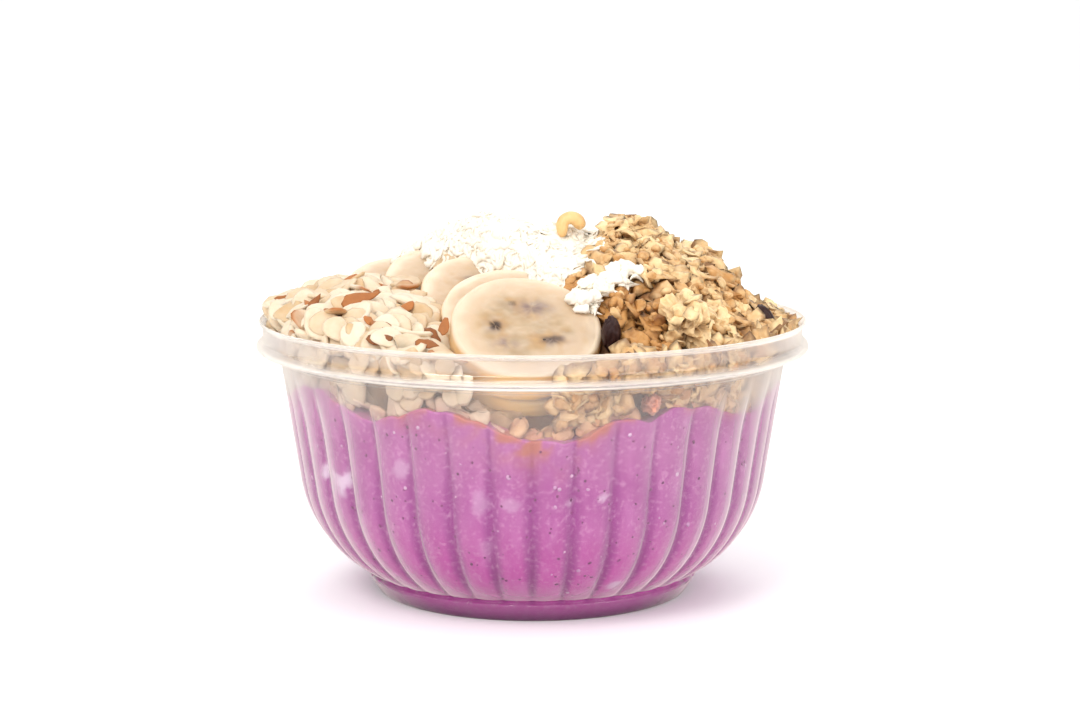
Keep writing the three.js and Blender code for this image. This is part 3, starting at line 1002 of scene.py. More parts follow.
        # painted shade: a wedge between the lobes, where they turn away from the light
        painted_groove_shade = smoothstep(-0.2, 0.2, self.form.groove(angle) - edge) * (z > self.form.foot_height)
        fade = np.sqrt(self.form.depth(z) / self.form.flute_depth)
        soaked = 0.2 + 0.8 * np.exp(-(((np.degrees(angle) + 4) / 22) ** 2))
        patches = 0.65 + 2.0 * self.noise.at(rings, 3.4) + 1.3 * self.noise.at(rings, 1.6)
        stain = np.exp(-np.maximum(level - z, 0) / (0.9 + 2.0 * soaked)) * soaked * patches
        return {
            "groove": 0.8 * painted_groove_shade * fade,
            # painted reflections
            "clot": self.clotted(rings),
            "stain": np.clip(stain, 0, 0.85),
            # painted shade on the foot
            "low": 0.9 * (1 - smoothstep(3.8, 5.4, z)),
            # painted light lower down
            "depth": 0.75 * smoothstep(34, 9, z),
        }

    def pressed_on_wall(self, shape: Surface, count: int, half: tuple[float, float], rng: Rng) -> Surface:
        """Small flat things that show at the wall, each lying along it.

        Args:
            shape: the thing, one millimetre in half-width and lying flat.
            count: how many.
            half: the smallest and the largest half-width in millimetres.
            rng: the random numbers.

        Returns:
            All of them as one surface.
        """
        angle = rng.uniform(0, TAU, count)
        low, high = self.form.foot_height + 2, self.wall_level(angle, 0.0) - 1.5
        z = low + (high - low) * rng.uniform(0, 1, count) ** 0.85
        radius = self.form.wall_radius(angle, z, 0.25)
        size = half[0] + (half[1] - half[0]) * rng.uniform(0, 1, count) ** 1.6
        scale = np.stack([size * rng.uniform(0.9, 1.5, count), size, np.full(count, 0.16)], axis=-1)
        heights = np.linspace(0, 60, 121)
        slope = np.interp(z, heights, np.gradient(self.form.side(heights), heights[1]))
        normals = unit(np.stack([np.sin(angle), -np.cos(angle), -slope], axis=-1))
        frames = turned_frames(normals, rng.uniform(0, TAU, count))
        return laid(shape, around(angle, radius, z), frames, scale, {"tone": rng.uniform(0, 1, count)})

    def build(self) -> None:
        """Makes the body, the seeds and the pulp."""
        rng = np.random.default_rng(self.seed)
        make_piece("smoothie_fill", self.surface(), PUREE, ("smoothie",))
        make_piece("smoothie_seeds", self.pressed_on_wall(button(6), self.seeds, (0.2, 0.45), rng), SEED)
        make_piece("smoothie_pulp", self.pressed_on_wall(button(8), self.pulp, (0.2, 0.6), rng), PULP)


# ---------------------------------------------------------------- small things laid by the hundred


def turned_frames(normals: Array, spins: Array) -> Array:
    """Rotations whose third axis is each normal, turned about it by each spin.

    Args:
        normals: the third axes.
        spins: the turns, in radians.

    Returns:
        A rotation for each.
    """
    helper = np.where(np.abs(normals[:, 2:]) > 0.9, [[1.0, 0, 0]], [[0, 0, 1.0]])
    across = unit(np.cross(helper, normals))
    beside = np.cross(normals, across)
    first = np.cos(spins)[:, None] * across + np.sin(spins)[:, None] * beside
    return np.stack([first, np.cross(normals, first), normals], axis=2)


def laid(shape: Surface, places: Array, frames: Array, scale: Array, marks: dict[str, Array]) -> Surface:
    """Copies of one small shape.

    Args:
        shape: the shape, about its own middle.
        places: the middle of each copy.
        frames: the rotation of each copy.
        scale: the size of each copy along its own three axes.
        marks: numbers for each copy, kept on all of its vertices beside the shape's own marks.

    Returns:
        The copies as one surface: each vertex is place + frame * (scale * vertex).
    """
    count, size = len(places), len(shape.vertices)
    moved = np.einsum("nij,nvj->nvi", frames, shape.vertices[None] * scale[:, None]) + places[:, None]
    shift = (np.arange(count) * size)[:, None, None]
    own = {key: np.tile(values, count) for key, values in shape.marks.items()}
    each = {key: np.repeat(values, size) for key, values in marks.items()}
    return Surface(
        moved.reshape(-1, 3),
        (shape.quads[None] + shift).reshape(-1, 4),
        (shape.triangles[None] + shift).reshape(-1, 3),
        own | each,
    )


def button(sides: int) -> Surface:
    """A low dome on both faces, of half-width one and half-height one.

    Args:
        sides: how many sides its rim has.

    Returns:
        The button, its marks empty.
    """
    turn = np.arange(sides) * TAU / sides
    share = np.array([0.72, 1.0, 0.72])[:, None]
    lift = np.broadcast_to(np.array([-0.7, 0.0, 0.7])[:, None], (3, sides))
    rings = np.stack([share * np.cos(turn), share * np.sin(turn), lift], axis=-1)
    made = ring_solid(rings, np.array([0, 0, -1.0]), np.array([0, 0, 1.0]))
    made.marks["mark"] = np.zeros(len(made.vertices))
    made.marks["stain"] = np.zeros(len(made.vertices))
    return made


@dataclass(frozen=True)
class FlakeShape:
    """A thin flake: an uneven oval that is thickest in its middle, bent along its length and crumpled.

    length, width and thick are half its length, half its width and its thickness. point is how much narrower
    one end is, ragged how uneven its edge is, curl how far its ends rise, crumple how far its sheet waves, and
    broken where along its half-length it is snapped off. skin is the share of its edge that keeps its brown
    skin, shoulder how far out its flat faces reach, and folds how dark its hollows are painted, as shade.
    """

    seed: int
    sides: int
    length: float
    width: float
    thick: float
    point: float = 0.2
    ragged: float = 0.03
    curl: float = 0.5
    crumple: float = 0.0
    broken: float = 1.0
    skin: float = 0.0
    shoulder: float = 0.84
    folds: float = 0.0

    def surface(self) -> Surface:
        """The flake, its skin marked and its hollows darkened as painted shade.

        Returns:
            The closed flake.
        """
        rng = np.random.default_rng(self.seed)
        noise = SpaceNoise(self.seed)
        turn = np.arange(self.sides) * TAU / self.sides
        waves = sum(rng.uniform(-1, 1) * np.cos(k * turn + rng.uniform(0, TAU)) / k**0.5 for k in (2, 3, 4, 5))
        edge = 1 + self.ragged * waves
        snap = self.broken * self.length
        x = self.length * np.cos(turn) * edge
        x = np.where(x > snap, snap + 0.12 * self.ragged * (x - snap) + 2 * self.ragged * np.cos(4 * turn), x)
        y = self.width * np.sin(turn) * edge * (1 - self.point * np.cos(turn))
        shares = np.array([self.shoulder, 1.0, self.shoulder])[:, None]
        lift = np.array([-0.5, 0.0, 0.5])[:, None] * self.thick
        tilt = rng.uniform(-1, 1)
        px, py = shares * x, shares * y
        rings = np.stack([px, py, self.bend(px, py, tilt, noise) + lift], axis=-1)
        middle = self.bend(np.zeros(1), np.zeros(1), tilt, noise)[0]
        made = ring_solid(rings, *(np.array([0, 0, middle + side * self.thick / 2]) for side in (-1, 1)))
        arc = smoothstep(1 - 2 * self.skin, 1.3 - 2 * self.skin, np.cos(turn - rng.uniform(0, TAU)))
        cover = np.array([0.5, 1.0, 0.5])[:, None] * np.broadcast_to(arc, (3, self.sides))
        # painted shade: the folds darken the low places of the crumpled sheet
        painted_hollow_shade = self.folds * np.clip(0.45 - rings[..., 2] / max(self.crumple, 0.1), 0, 1)
        made.mark_rings(mark=np.maximum(cover, painted_hollow_shade))
        return made

    def bend(self, x: Array, y: Array, tilt: float, noise: SpaceNoise) -> Array:
        """Height of the bent sheet: a bow along the length, a twist, and waves as long as half the flake.

        Args:
            x: places along it.
            y: places across it.
            tilt: how far it twists.
            noise: what its waves follow.

        Returns:
            The heights.
        """
        along, across = x / self.length, y / self.width
        flat = np.stack([along, across, 0 * along + 4], -1)
        return self.curl * (along**2 + 0.6 * tilt * along * across) + self.crumple * noise.at(flat, 0.55)


def ball_points(columns: int, rows: int) -> Array:
    """Rings of points on a ball of radius one, from below to above.

    Args:
        columns: points on each ring.
        rows: one more than the number of rings.

    Returns:
        The rings.
    """
    turn = np.arange(columns) * TAU / columns
    rise = (np.arange(1, rows) / rows - 0.5)[:, None] * math.pi
    flat = np.broadcast_to(np.sin(rise), (rows - 1, columns))
    return np.stack([np.cos(rise) * np.cos(turn), np.cos(rise) * np.sin(turn), flat], -1)


@dataclass(frozen=True)
class LumpShape:
    """A craggy lump of half-width one: plates of oat stuck all round it, each with its own height and lean."""

    seed: int
    columns: int
    rows: int
    plates: int
    rough: float
    ridges: float = 0.0

    def surface(self) -> Surface:
        """The lump, its seams and hollows darkened as painted shade.

        Each point belongs to the nearest of the plates' middles, after noise has shifted it. It is pushed out
        by that plate's height and lean, and sinks where the two nearest plates are about as near.

        Returns:
            The closed lump.
        """
        rng = np.random.default_rng(self.seed)
        noise = SpaceNoise(self.seed)
        ball = ball_points(self.columns, self.rows)
        shift = np.stack([noise.at(ball + step, 0.4) for step in (3, 9, 15)], -1)
        middles = unit(rng.normal(size=(self.plates, 3)))
        nearness = unit(ball + 0.22 * shift) @ middles.T
        nearest = nearness.argmax(axis=-1)
        ranked = np.sort(nearness, axis=-1)
        seam = np.exp(-(ranked[..., -1] - ranked[..., -2]) / 0.04)
        height = rng.uniform(-1, 1, self.plates)[nearest]
        lean = (rng.normal(size=(self.plates, 3))[nearest] * (ball - middles[nearest])).sum(axis=-1)
        ridged = 0.5 - np.abs(noise.at(ball + 33, 0.42)) - 0.5 * np.abs(noise.at(ball + 45, 0.21))
        push = 0.5 * height + 0.7 * lean - 0.4 * seam + 0.45 * noise.at(ball + 21, 0.3) + self.ridges * ridged
        lump = ball * (1 + self.rough * push)[..., None]
        made = ring_solid(lump, np.array([0, 0, -0.95]), np.array([0, 0, 0.95]))
        # painted shade: the mark darkens the seams and the sunk places
        made.mark_rings(mark=np.clip(0.5 * seam - 0.4 * push - 0.05, 0, 0.9))
        return made


def shred(seed: int, length: float, width: float, thick: float) -> Surface:
    """A curved shred: four-sided rings along an arc, thin at both ends.

    Args:
        seed: the seed of its curve.
        length: its length.
        width: its width.
        thick: its thickness.

    Returns:
        The shred.
    """
    rng = np.random.default_rng(seed)
    along = np.linspace(-1, 1, 5)[:, None]
    turn = np.arange(4) * TAU / 4 + 0.6
    girth = np.sqrt(np.clip(1.08 - along**2, 0.05, 1)) * (1 + 0.25 * rng.uniform(-1, 1, (5, 1)))
    arc = rng.uniform(0.15, 0.5) * length
    x = np.broadcast_to(along * length / 2, (5, 4))
    y = width / 2 * girth * np.cos(turn) + arc * along**2 * rng.choice([-1, 1])
    z = thick / 2 * girth * np.sin(turn) + rng.uniform(-0.3, 0.3) * length * along**2
    rings = np.stack([x, y, z], axis=-1)
    ends = rings.mean(axis=1)
    made = ring_solid(rings[:, ::-1], ends[0] - [0.1, 0, 0], ends[-1] + [0.1, 0, 0])
    made.marks["mark"] = np.zeros(len(made.vertices))
    return made


@dataclass
class Layout:
    """Where copies of small shapes go: which shape, its place, its rotation and its size."""

    kinds: Array
    places: Array
    frames: Array
    scale: Array

    def surface(self, shapes: list[Surface], form: BowlForm, marks: dict[str, Array]) -> Surface:
        """Lays the copies, each moved towards the axis as far as it takes to clear the bowl.

        Args:
            shapes: the shapes that kinds counts through.
            form: the bowl.
            marks: numbers for each copy.

        Returns:
            All copies as one surface.
        """
        parts = []
        for kind, shape in enumerate(shapes):
            chosen = self.kinds == kind
            if not chosen.any():
                continue
            places, frames, scale = self.places[chosen], self.frames[chosen], self.scale[chosen]
            reach = np.einsum("nij,nvj->nvi", frames, shape.vertices[None] * scale[:, None]) + places[:, None]
            excess = (np.hypot(reach[..., 0], reach[..., 1]) - form.room(reach[..., 2])).max(axis=1)
            outwards = unit(places * [1, 1, 0])
            places = places - outwards * np.maximum(excess, 0)[:, None]
            own = {key: values[chosen] for key, values in marks.items()}
            parts.append(laid(shape, places, frames, scale, own))
        return joined(parts)


# ---------------------------------------------------------------- the plan of the toppings


class Topping(Enum):
    """The three loose toppings, by the part of the bowl that each one covers."""

    ALMONDS = 0
    COCONUT = 1
    GRANOLA = 2


@dataclass(frozen=True)
class Mound:
    """A heap's form: a dome round a middle, whose sides run nearly straight."""

    FOOT = 67.5  # height of every mound's edge, just below the lip
    POWER = 1.25

    x: float
    y: float
    reach_x: float
    reach_y: float
    height: float
    lump: float

    def top(self, x: Array, y: Array) -> Array:
        """Height over a place: FOOT + height * (1 - away^POWER), with lumps as large as its clusters.

        Args:
            x: how far to the right.
            y: how far to the back.

        Returns:
            The height.
        """
        away = np.hypot((x - self.x) / self.reach_x, (y - self.y) / self.reach_y)
        broad = np.sin(x / 3.1 + 0.8) * np.sin(y / 3.4 + 1.9)
        fine = np.sin(x / 1.9 - y / 2.3 + 0.4)
        dome = self.height * np.maximum(0, 1 - away**self.POWER)
        return self.FOOT + dome + self.lump * (0.7 * broad + 0.3 * fine)


MOUNDS = {
    Topping.ALMONDS: Mound(x=-44, y=-12, reach_x=40, reach_y=62, height=14, lump=1.0),
    Topping.COCONUT: Mound(x=-12, y=6, reach_x=70, reach_y=74, height=30, lump=0.5),
    Topping.GRANOLA: Mound(x=22, y=4, reach_x=52, reach_y=70, height=29.5, lump=1.6),
}
# How far each core lies under its heap's outline.
BEDS = {Topping.ALMONDS: 4.5, Topping.COCONUT: 0.6, Topping.GRANOLA: 6.5}
# How far each heap falls over its shoulder, near the rim.
SHOULDERS = {Topping.ALMONDS: 0.2, Topping.COCONUT: 0.5, Topping.GRANOLA: 4.0}


class ToppingPlan:
    """Which topping covers each place, how high it heaps, and how high the pile has grown so far."""

    STEP = 0.5  # pitch of the grid
    REACH = 74.0  # how far the grid runs from the axis
    HEAP_RADIUS = 67.0  # how far the heaps' cores run from it
    BLUR_MM = 2.6  # how softly the toppings' heights meet
    SLICE_X = -1.8  # the middle of the notch that keeps the front slice's face free
    CASHEW_AT = (10.5, 4.5)  # where the coconut rises round the cashew
    SWELL = 6.0  # how far it rises there
    # X, depth and half-width of the folds that run back over the granola.
    FOLDS = ((37.0, 3.5, 2.6), (54.0, 4.5, 3.0))
    # X, Y and radius of the places kept open: for raisins, and between the granola's clusters and the almonds;
    # between the clusters the granola's core shows through as painted shade.
    SHOWN = (
        (18.9, -51.0, 4.5), (58.8, -14.5, 4.0), (26.5, -35.0, 4.0), (25.5, -46.0, 2.6), (37.0, -28.0, 1.4),
        (-42.7, -33.5, 2.6), (-36.0, -55.5, 2.6), (-25.0, -58.5, 2.2), (-21.0, -49.5, 2.0), (-30.0, -34.0, 1.8),
    )
    FRONT = np.array([[-90, -4], [-60, -4], [-44, 1], [-32, 6]], float)  # y, then x, of the toppings' borders
    LEFT = np.array([[-32, 6], [-14, -4], [3, -18], [18, -32], [36, -42], [90, -50]], float)
    RIGHT = np.array([[-32, 6], [-16, 15], [8, 18], [40, 15], [90, 8]], float)

    def __init__(self, form: BowlForm, smoothie: Smoothie) -> None:
        """Lays out the grid and the heights that the heaps should reach.

        Args:
            form: the bowl.
            smoothie: the smoothie.
        """
        self.form = form
        self.smoothie = smoothie
        axis = np.arange(-self.REACH, self.REACH + self.STEP, self.STEP)
        self.x, self.y = np.meshgrid(axis, axis, indexing="ij")
        self.radius = np.hypot(self.x, self.y)
        self.region = self.topping_at(self.x, self.y)
        self.target = self.blurred(self.wanted(self.x, self.y))
        self.slope = np.stack(np.gradient(self.blurred(self.target), self.STEP), axis=-1)
        self.height = self.target - self.per_region(BEDS, self.region) - 0.4
        self.bare = np.zeros(self.height.shape, bool)

    @staticmethod
    def per_region(values: dict[Topping, float], region: Array) -> Array:
        """Each topping's own value over the places that it covers."""
        return np.array([values[kind] for kind in Topping])[region]

    def borders(self, y: Array) -> tuple[Array, ...]:
        """X of the coconut's left and right borders at each y: one line in front of where they part.

        Args:
            y: how far to the back.

        Returns:
            The left one and the right one.
        """
        lines = (self.FRONT, self.LEFT, self.RIGHT)
        front, left, right = (np.interp(y, line[:, 0], line[:, 1]) for line in lines)
        return tuple(np.where(y < self.LEFT[0, 0], front, side) for side in (left, right))

    def topping_at(self, x: Array, y: Array) -> Array:
        """Number of the topping over each place.

        Args:
            x: how far to the right.
            y: how far to the back.

        Returns:
            The number of its Topping.
        """
        left, right = self.borders(y)
        inner = np.where(x > right, Topping.GRANOLA.value, Topping.COCONUT.value)
        return np.where(x < left, Topping.ALMONDS.value, inner)

    def wanted(self, x: Array, y: Array) -> Array:
        """Height of the topping over each place, falling towards the rim, and low before the front slice.

        Args:
            x: how far to the right.
            y: how far to the back.

        Returns:
            The height.
        """
        region = self.topping_at(x, y)
        tops = np.stack([MOUNDS[kind].top(x, y) for kind in Topping])
        height = np.take_along_axis(tops, region[None], axis=0)[0]
        notch = smoothstep(19, 15, np.abs(x - self.SLICE_X)) * smoothstep(-44, -50, y)
        shoulder = self.per_region(SHOULDERS, region) * smoothstep(48, 62, np.hypot(x, y))
        swell = self.SWELL * np.exp(-(((x - self.CASHEW_AT[0]) ** 2 + (y - self.CASHEW_AT[1]) ** 2) / 30))
        folds = sum(depth * np.exp(-(((x - 0.055 * y - at) / wide) ** 2)) for at, depth, wide in self.FOLDS)
        folds = folds * smoothstep(-18, -4, y)
        return height - shoulder + swell - folds + (60 - height) * notch

    def area(self, kind: Topping, reach: float, margin: float) -> Array:
        """Cells that take the middle of a topping's piece.

        Args:
            kind: the topping.
            reach: the greatest distance from the axis.
            margin: the least distance from the toppings' borders and the shown places, which may be negative.

        Returns:
            A mask without the notch before the front slice, the places kept bare for it, and the shown places.
        """
        left, right = self.borders(self.y)
        inside = {
            Topping.ALMONDS: self.x < left - margin,
            Topping.COCONUT: (self.x > left + margin) & (self.x < right - margin),
            Topping.GRANOLA: self.x > right + margin,
        }[kind]
        notch = (np.abs(self.x - self.SLICE_X) < 20) & (self.y < -42)
        free = inside & (self.radius < reach) & ~notch & ~self.bare
        for x, y, gap in self.SHOWN:
            free &= np.hypot(self.x - x, self.y - y) > gap + margin
        return free

    def blurred(self, grid: Array) -> Array:
        """The grid with its steps softened by a bell of BLUR_MM.

        Args:
            grid: a number for each cell.

        Returns:
            The softened grid.
        """
        reach = int(3 * self.BLUR_MM / self.STEP)
        bell = np.exp(-0.5 * (np.arange(-reach, reach + 1) * self.STEP / self.BLUR_MM) ** 2)
        bell /= bell.sum()

        def softened(line: Array) -> Array:
            """One line of the grid under the bell."""
            return np.convolve(np.pad(line, reach, "edge"), bell, "valid")

        return np.apply_along_axis(softened, 1, np.apply_along_axis(softened, 0, grid))

    def cell(self, places: Array) -> tuple[Array, Array]:
        """Indices of the cells under places."""
        index = np.clip(np.rint((places + self.REACH) / self.STEP).astype(int), 0, len(self.x) - 1)
        return index[..., 0], index[..., 1]

    def keep_bare(self, centre: Array, frame: Array, radius: float) -> None:
        """Keeps toppings off the cells under a disc, as seen along its own axis.

        Args:
            centre: the disc's middle.
            frame: its rotation.
            radius: its radius.
        """
        dx, dy = self.x - centre[0], self.y - centre[1]
        dz = -(frame[0, 2] * dx + frame[1, 2] * dy) / frame[2, 2]
        u = frame[0, 0] * dx + frame[1, 0] * dy + frame[2, 0] * dz
        v = frame[0, 1] * dx + frame[1, 1] * dy + frame[2, 1] * dz
        self.bare |= np.hypot(u, v) < radius

    def stamp(self, centre: Array, frame: Array, half: Array, domed: bool) -> None:
        """Raises the pile by one piece.

        Args:
            centre: the piece's middle.
            frame: its rotation.
            half: half its length, width and thickness.
            domed: whether it is a lump, and not a plate.
        """
        span = int(max(half) / self.STEP) + 1
        i, j = self.cell(centre[:2])
        window = (slice(max(i - span, 0), i + span + 1), slice(max(j - span, 0), j + span + 1))
        dx, dy = self.x[window] - centre[0], self.y[window] - centre[1]
        upright = frame[2, 2] if abs(frame[2, 2]) > 0.3 else 0.3
        dz = -(frame[0, 2] * dx + frame[1, 2] * dy) / upright
        u = (frame[0, 0] * dx + frame[1, 0] * dy + frame[2, 0] * dz) / half[0]
        v = (frame[0, 1] * dx + frame[1, 1] * dy + frame[2, 1] * dz) / half[1]
        inside = 1 - u * u - v * v
        cover = half[2] * (np.sqrt(np.maximum(inside, 0)) if domed else 1)
        top = np.where(inside > 0, centre[2] + dz + cover, -np.inf)
        self.height[window] = np.maximum(self.height[window], top)

    def core(self, kind: Topping, rows: int, columns: int, inset: float) -> Surface:
        """A heap's core: a slab between the smoothie and a height below the heap's outline.

        Args:
            kind: the topping.
            rows: points from front to back.
            columns: points from side to side.
            inset: how far inside the wall it stays.

        Returns:
            The core. Its rows are y = R sin t, its columns run from border to border, and each lower layer is
            drawn in to follow the wall.
        """
        radius = self.HEAP_RADIUS - inset
        start = math.asin(self.LEFT[0, 0] / radius) if kind is Topping.COCONUT else -math.pi / 2
        turn = np.linspace(start + 0.02, math.pi / 2 - 0.02, rows)
        y = radius * np.sin(turn)[:, None]
        edge = radius * np.cos(turn)[:, None]
        left, right = (np.clip(line, -edge, edge) for line in self.borders(y))
        low = {Topping.ALMONDS: -edge, Topping.COCONUT: left + 0.4, Topping.GRANOLA: right + 0.4}[kind]
        high = {Topping.ALMONDS: left - 0.4, Topping.COCONUT: right - 0.4, Topping.GRANOLA: edge}[kind]
        high = np.maximum(high, low + 0.5)
        x = low + (high - low) * np.linspace(0, 1, columns)
        y = np.broadcast_to(y, x.shape)
        i, j = self.cell(np.stack([x, y], -1))
        top = self.target[i, j] - BEDS[kind]
        floor = self.smoothie.wall_level(angle_of(np.stack([x, y], -1)), 0.0) - 3
        layers = []
        for share in (0.0, 0.3, 0.6, 0.85, 1.0):
            z = top + (floor - top) * share
            drawn = np.minimum(1, (self.form.room(z) - inset) / np.maximum(np.hypot(x, y), 1))
            layers.append(np.stack([x * drawn, y * drawn, z], -1))
        return slab_solid(np.stack(layers))


@dataclass(frozen=True)
class Deposit:
    """How one kind of piece is heaped up.

    count is how many are dropped, half is half their length, width and thickness, kinds how many shapes there
    are, and spread how their size varies. tilt is the usual angle in degrees between a piece and the slope that
    it lies on, sink the share of its height that it sinks between its neighbours, and domed whether it is a
    lump. proud is how far its top may stand above the wanted outline, and front how far its face leans towards
    the front, which fades at the back.
    """

    PROBES = 10  # points round each of two rings under a piece
    TRIES = 14  # cells that each piece has to choose from

    count: int
    half: tuple[float, float, float]
    kinds: int
    spread: float
    tilt: float
    sink: float
    domed: bool = False
    proud: float = 1.0
    front: float = 0.0

    def heap(self, plan: ToppingPlan, area: Array, rng: Rng) -> Layout:
        """Drops the pieces one by one, each where the pile falls shortest of the wanted height.

        Args:
            plan: the plan, whose pile grows.
            area: which cells take a piece's middle.
            rng: the random numbers.

        Returns:
            Where the pieces lie. Each rests near the highest point under it, on probes round its rim.
        """
        cells = np.argwhere(area)
        turn = np.arange(self.PROBES) * TAU / self.PROBES
        probes = np.stack([0.8 * np.cos(turn), 0.8 * np.sin(turn), np.zeros(self.PROBES)], -1)
        probes = np.concatenate([probes, probes * 0.4])
        half_all = np.array(self.half) * (1 + self.spread * rng.uniform(-1, 1, (self.count, 1)))
        made = []
        for half in half_all:
            tries = cells[rng.integers(len(cells), size=self.TRIES)]
            lack = plan.target[tries[:, 0], tries[:, 1]] - plan.height[tries[:, 0], tries[:, 1]]
            i, j = tries[np.argmax(lack)]
            slope = plan.slope[i, j]
            lean = math.tan(math.radians(abs(rng.normal(0, self.tilt)))) * unit(rng.normal(size=2))
            towards = self.front * float(smoothstep(24, -4, plan.y[i, j]))
            normal = unit(np.array([lean[0] - slope[0], lean[1] - slope[1] - towards, 1.0]))
            frame = turned_frames(normal[None], rng.uniform(0, TAU, 1))[0]
            offset = (probes * half) @ frame.T
            xy = np.array([plan.x[i, j], plan.y[i, j]])
            under = plan.height[plan.cell(xy + offset[:, :2])]
            rest = np.sort(under - offset[:, 2])
            z = rest[-3] * (1 - self.sink) + rest.mean() * self.sink + half[2] * (1 - self.sink)
            if z + np.linalg.norm(frame[2] * half) > plan.target[i, j] + self.proud:
                continue
            centre = np.array([*xy, z])
            plan.stamp(centre, frame, half, self.domed)
            made.append((rng.integers(self.kinds), centre, frame, half / np.array(self.half)))
        kinds, places, frames, scale = zip(*made)
        return Layout(np.array(kinds), np.array(places), np.array(frames), np.array(scale))


# Where the crescent of the slice under the first one shows: X and height of the middle, and half-sizes.
CRESCENT_WINDOW = (-4.0, 63.5, 12.5, 9.5)
# The soaked crumb near the wall: its middle, and how far other pieces keep from it.
SOAKED_AT = (28.3, -54.6, 57.6)
SOAKED_ROOM = 3.6


def wall_layout(
    plan: ToppingPlan, topping: Topping, kinds: int, rng: Rng, *, count: int, depth: float, tilt: float,
    spread: float = 0.3, swing: float = math.pi, ceiling: float = 69.5,
) -> Layout:
    """Pieces that lie against the wall, between the smoothie's edge and the lip.

    Args:
        plan: the plan.
        topping: the topping.
        kinds: how many shapes there are.
        rng: the random numbers.
        count: how many places are tried round the whole bowl.
        depth: how far from the wall they lie, at most.
        tilt: the usual angle in degrees between a piece and the wall.
        spread: how much their sizes vary.
        swing: how far their long axes turn from upright, in radians.
        ceiling: the greatest height of their middles.

    Returns:
        Where they lie. The lowest sink a little into the smoothie's edge.
    """
    sunk, gap = 0.6, 0.6  # how far the lowest sink in, and how far all of them stay off the wall
    angle = rng.uniform(-math.pi, math.pi, count)
    level = plan.smoothie.wall_level(angle)
    z = level - sunk + (ceiling + sunk - level) * rng.uniform(0, 1, count)
    radius = plan.form.room(z) - gap - depth * rng.uniform(0, 1, count)
    places = around(angle, radius, z)
    x, y = places[:, 0], places[:, 1]
    middle, height, half_width, half_height = CRESCENT_WINDOW
    hides_slice = ((x - middle) / half_width) ** 2 + ((z - height) / half_height) ** 2 < 1
    hides_crumb = np.hypot(x - SOAKED_AT[0], z - SOAKED_AT[2]) < SOAKED_ROOM
    keep = (plan.topping_at(x, y) == topping.value) & ~((hides_slice | hides_crumb) & (y < 0))
    lean = np.tan(np.radians(rng.normal(0, tilt, (count, 3))))
    normals = unit(unit(places * [1, 1, 0]) + lean)
    frames = turned_frames(normals, math.pi / 2 + rng.uniform(-swing, swing, count))
    scale = np.broadcast_to(1 + spread * rng.uniform(-1, 1, (count, 1)), (count, 3))
    return Layout(rng.integers(kinds, size=count)[keep], places[keep], frames[keep], scale[keep])


def merged(layouts: list[Layout]) -> Layout:
    """Several layouts as one."""
    keys = ("kinds", "places", "frames", "scale")
    return Layout(*(np.concatenate([getattr(one, key) for one in layouts]) for key in keys))


def stain_of(plan: ToppingPlan, places: Array, rng: Rng) -> Array:
    """How pink a piece is: pieces near the smoothie's edge at the wall soak it up."""
    above = places[:, 2] - plan.smoothie.wall_level(angle_of(places), 0.0)
    return np.clip(np.exp(-np.maximum(above, 0) / 2.8) * rng.uniform(0.2, 1.0, len(places)), 0, 0.9)


# ---------------------------------------------------------------- banana and raisins


@dataclass(frozen=True)
class Heart:
    """A tinted spot on a slice's face: where it is, how large, how mauve, how ochre and how full of seeds."""

    degrees: float
    away: float
    size: tuple[float, float]
    mauve: float
    ochre: float
    seeded: float


# One heart in each third of a slice, and two more on the front one.
HEARTS = (
    Heart(178, 0.4, (2.3, 2.6), 0.7, 1.0, 1.0), Heart(72, 0.36, (4.8, 2.8), 1.0, 0.5, 0.1),
    Heart(-40, 0.42, (4.2, 2.2), 0.8, 1.0, 0.65),
)
FRONT_HEARTS = (Heart(-133, 0.44, (3.2, 2.4), 0.8, 0.2, 0.0), Heart(107, 0.46, (1.6, 1.4), 0.2, 1.0, 0.5))


def node_frame(node: str) -> tuple[Array, Array, Array]:
    """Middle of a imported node, its own axes from the longest to the shortest, and half its size along each.

    Args:
        node: its name.

    Returns:
        The three, in millimetres, with the axes as columns.
    """
    mesh = frame["nodes"][node].data
    points = np.zeros(len(mesh.vertices) * 3, np.float32)
    mesh.vertices.foreach_get("co", points)
    points = points.reshape(-1, 3).astype(float) / MM
    centre = (points.min(axis=0) + points.max(axis=0)) / 2
    axes = np.linalg.svd(points - points.mean(axis=0), full_matrices=False)[2].T
    axes = axes * np.sign(axes[2])
    axes[:, 1] = np.cross(axes[:, 2], axes[:, 0])
    return centre, axes, np.abs((points - centre) @ axes).max(axis=0)


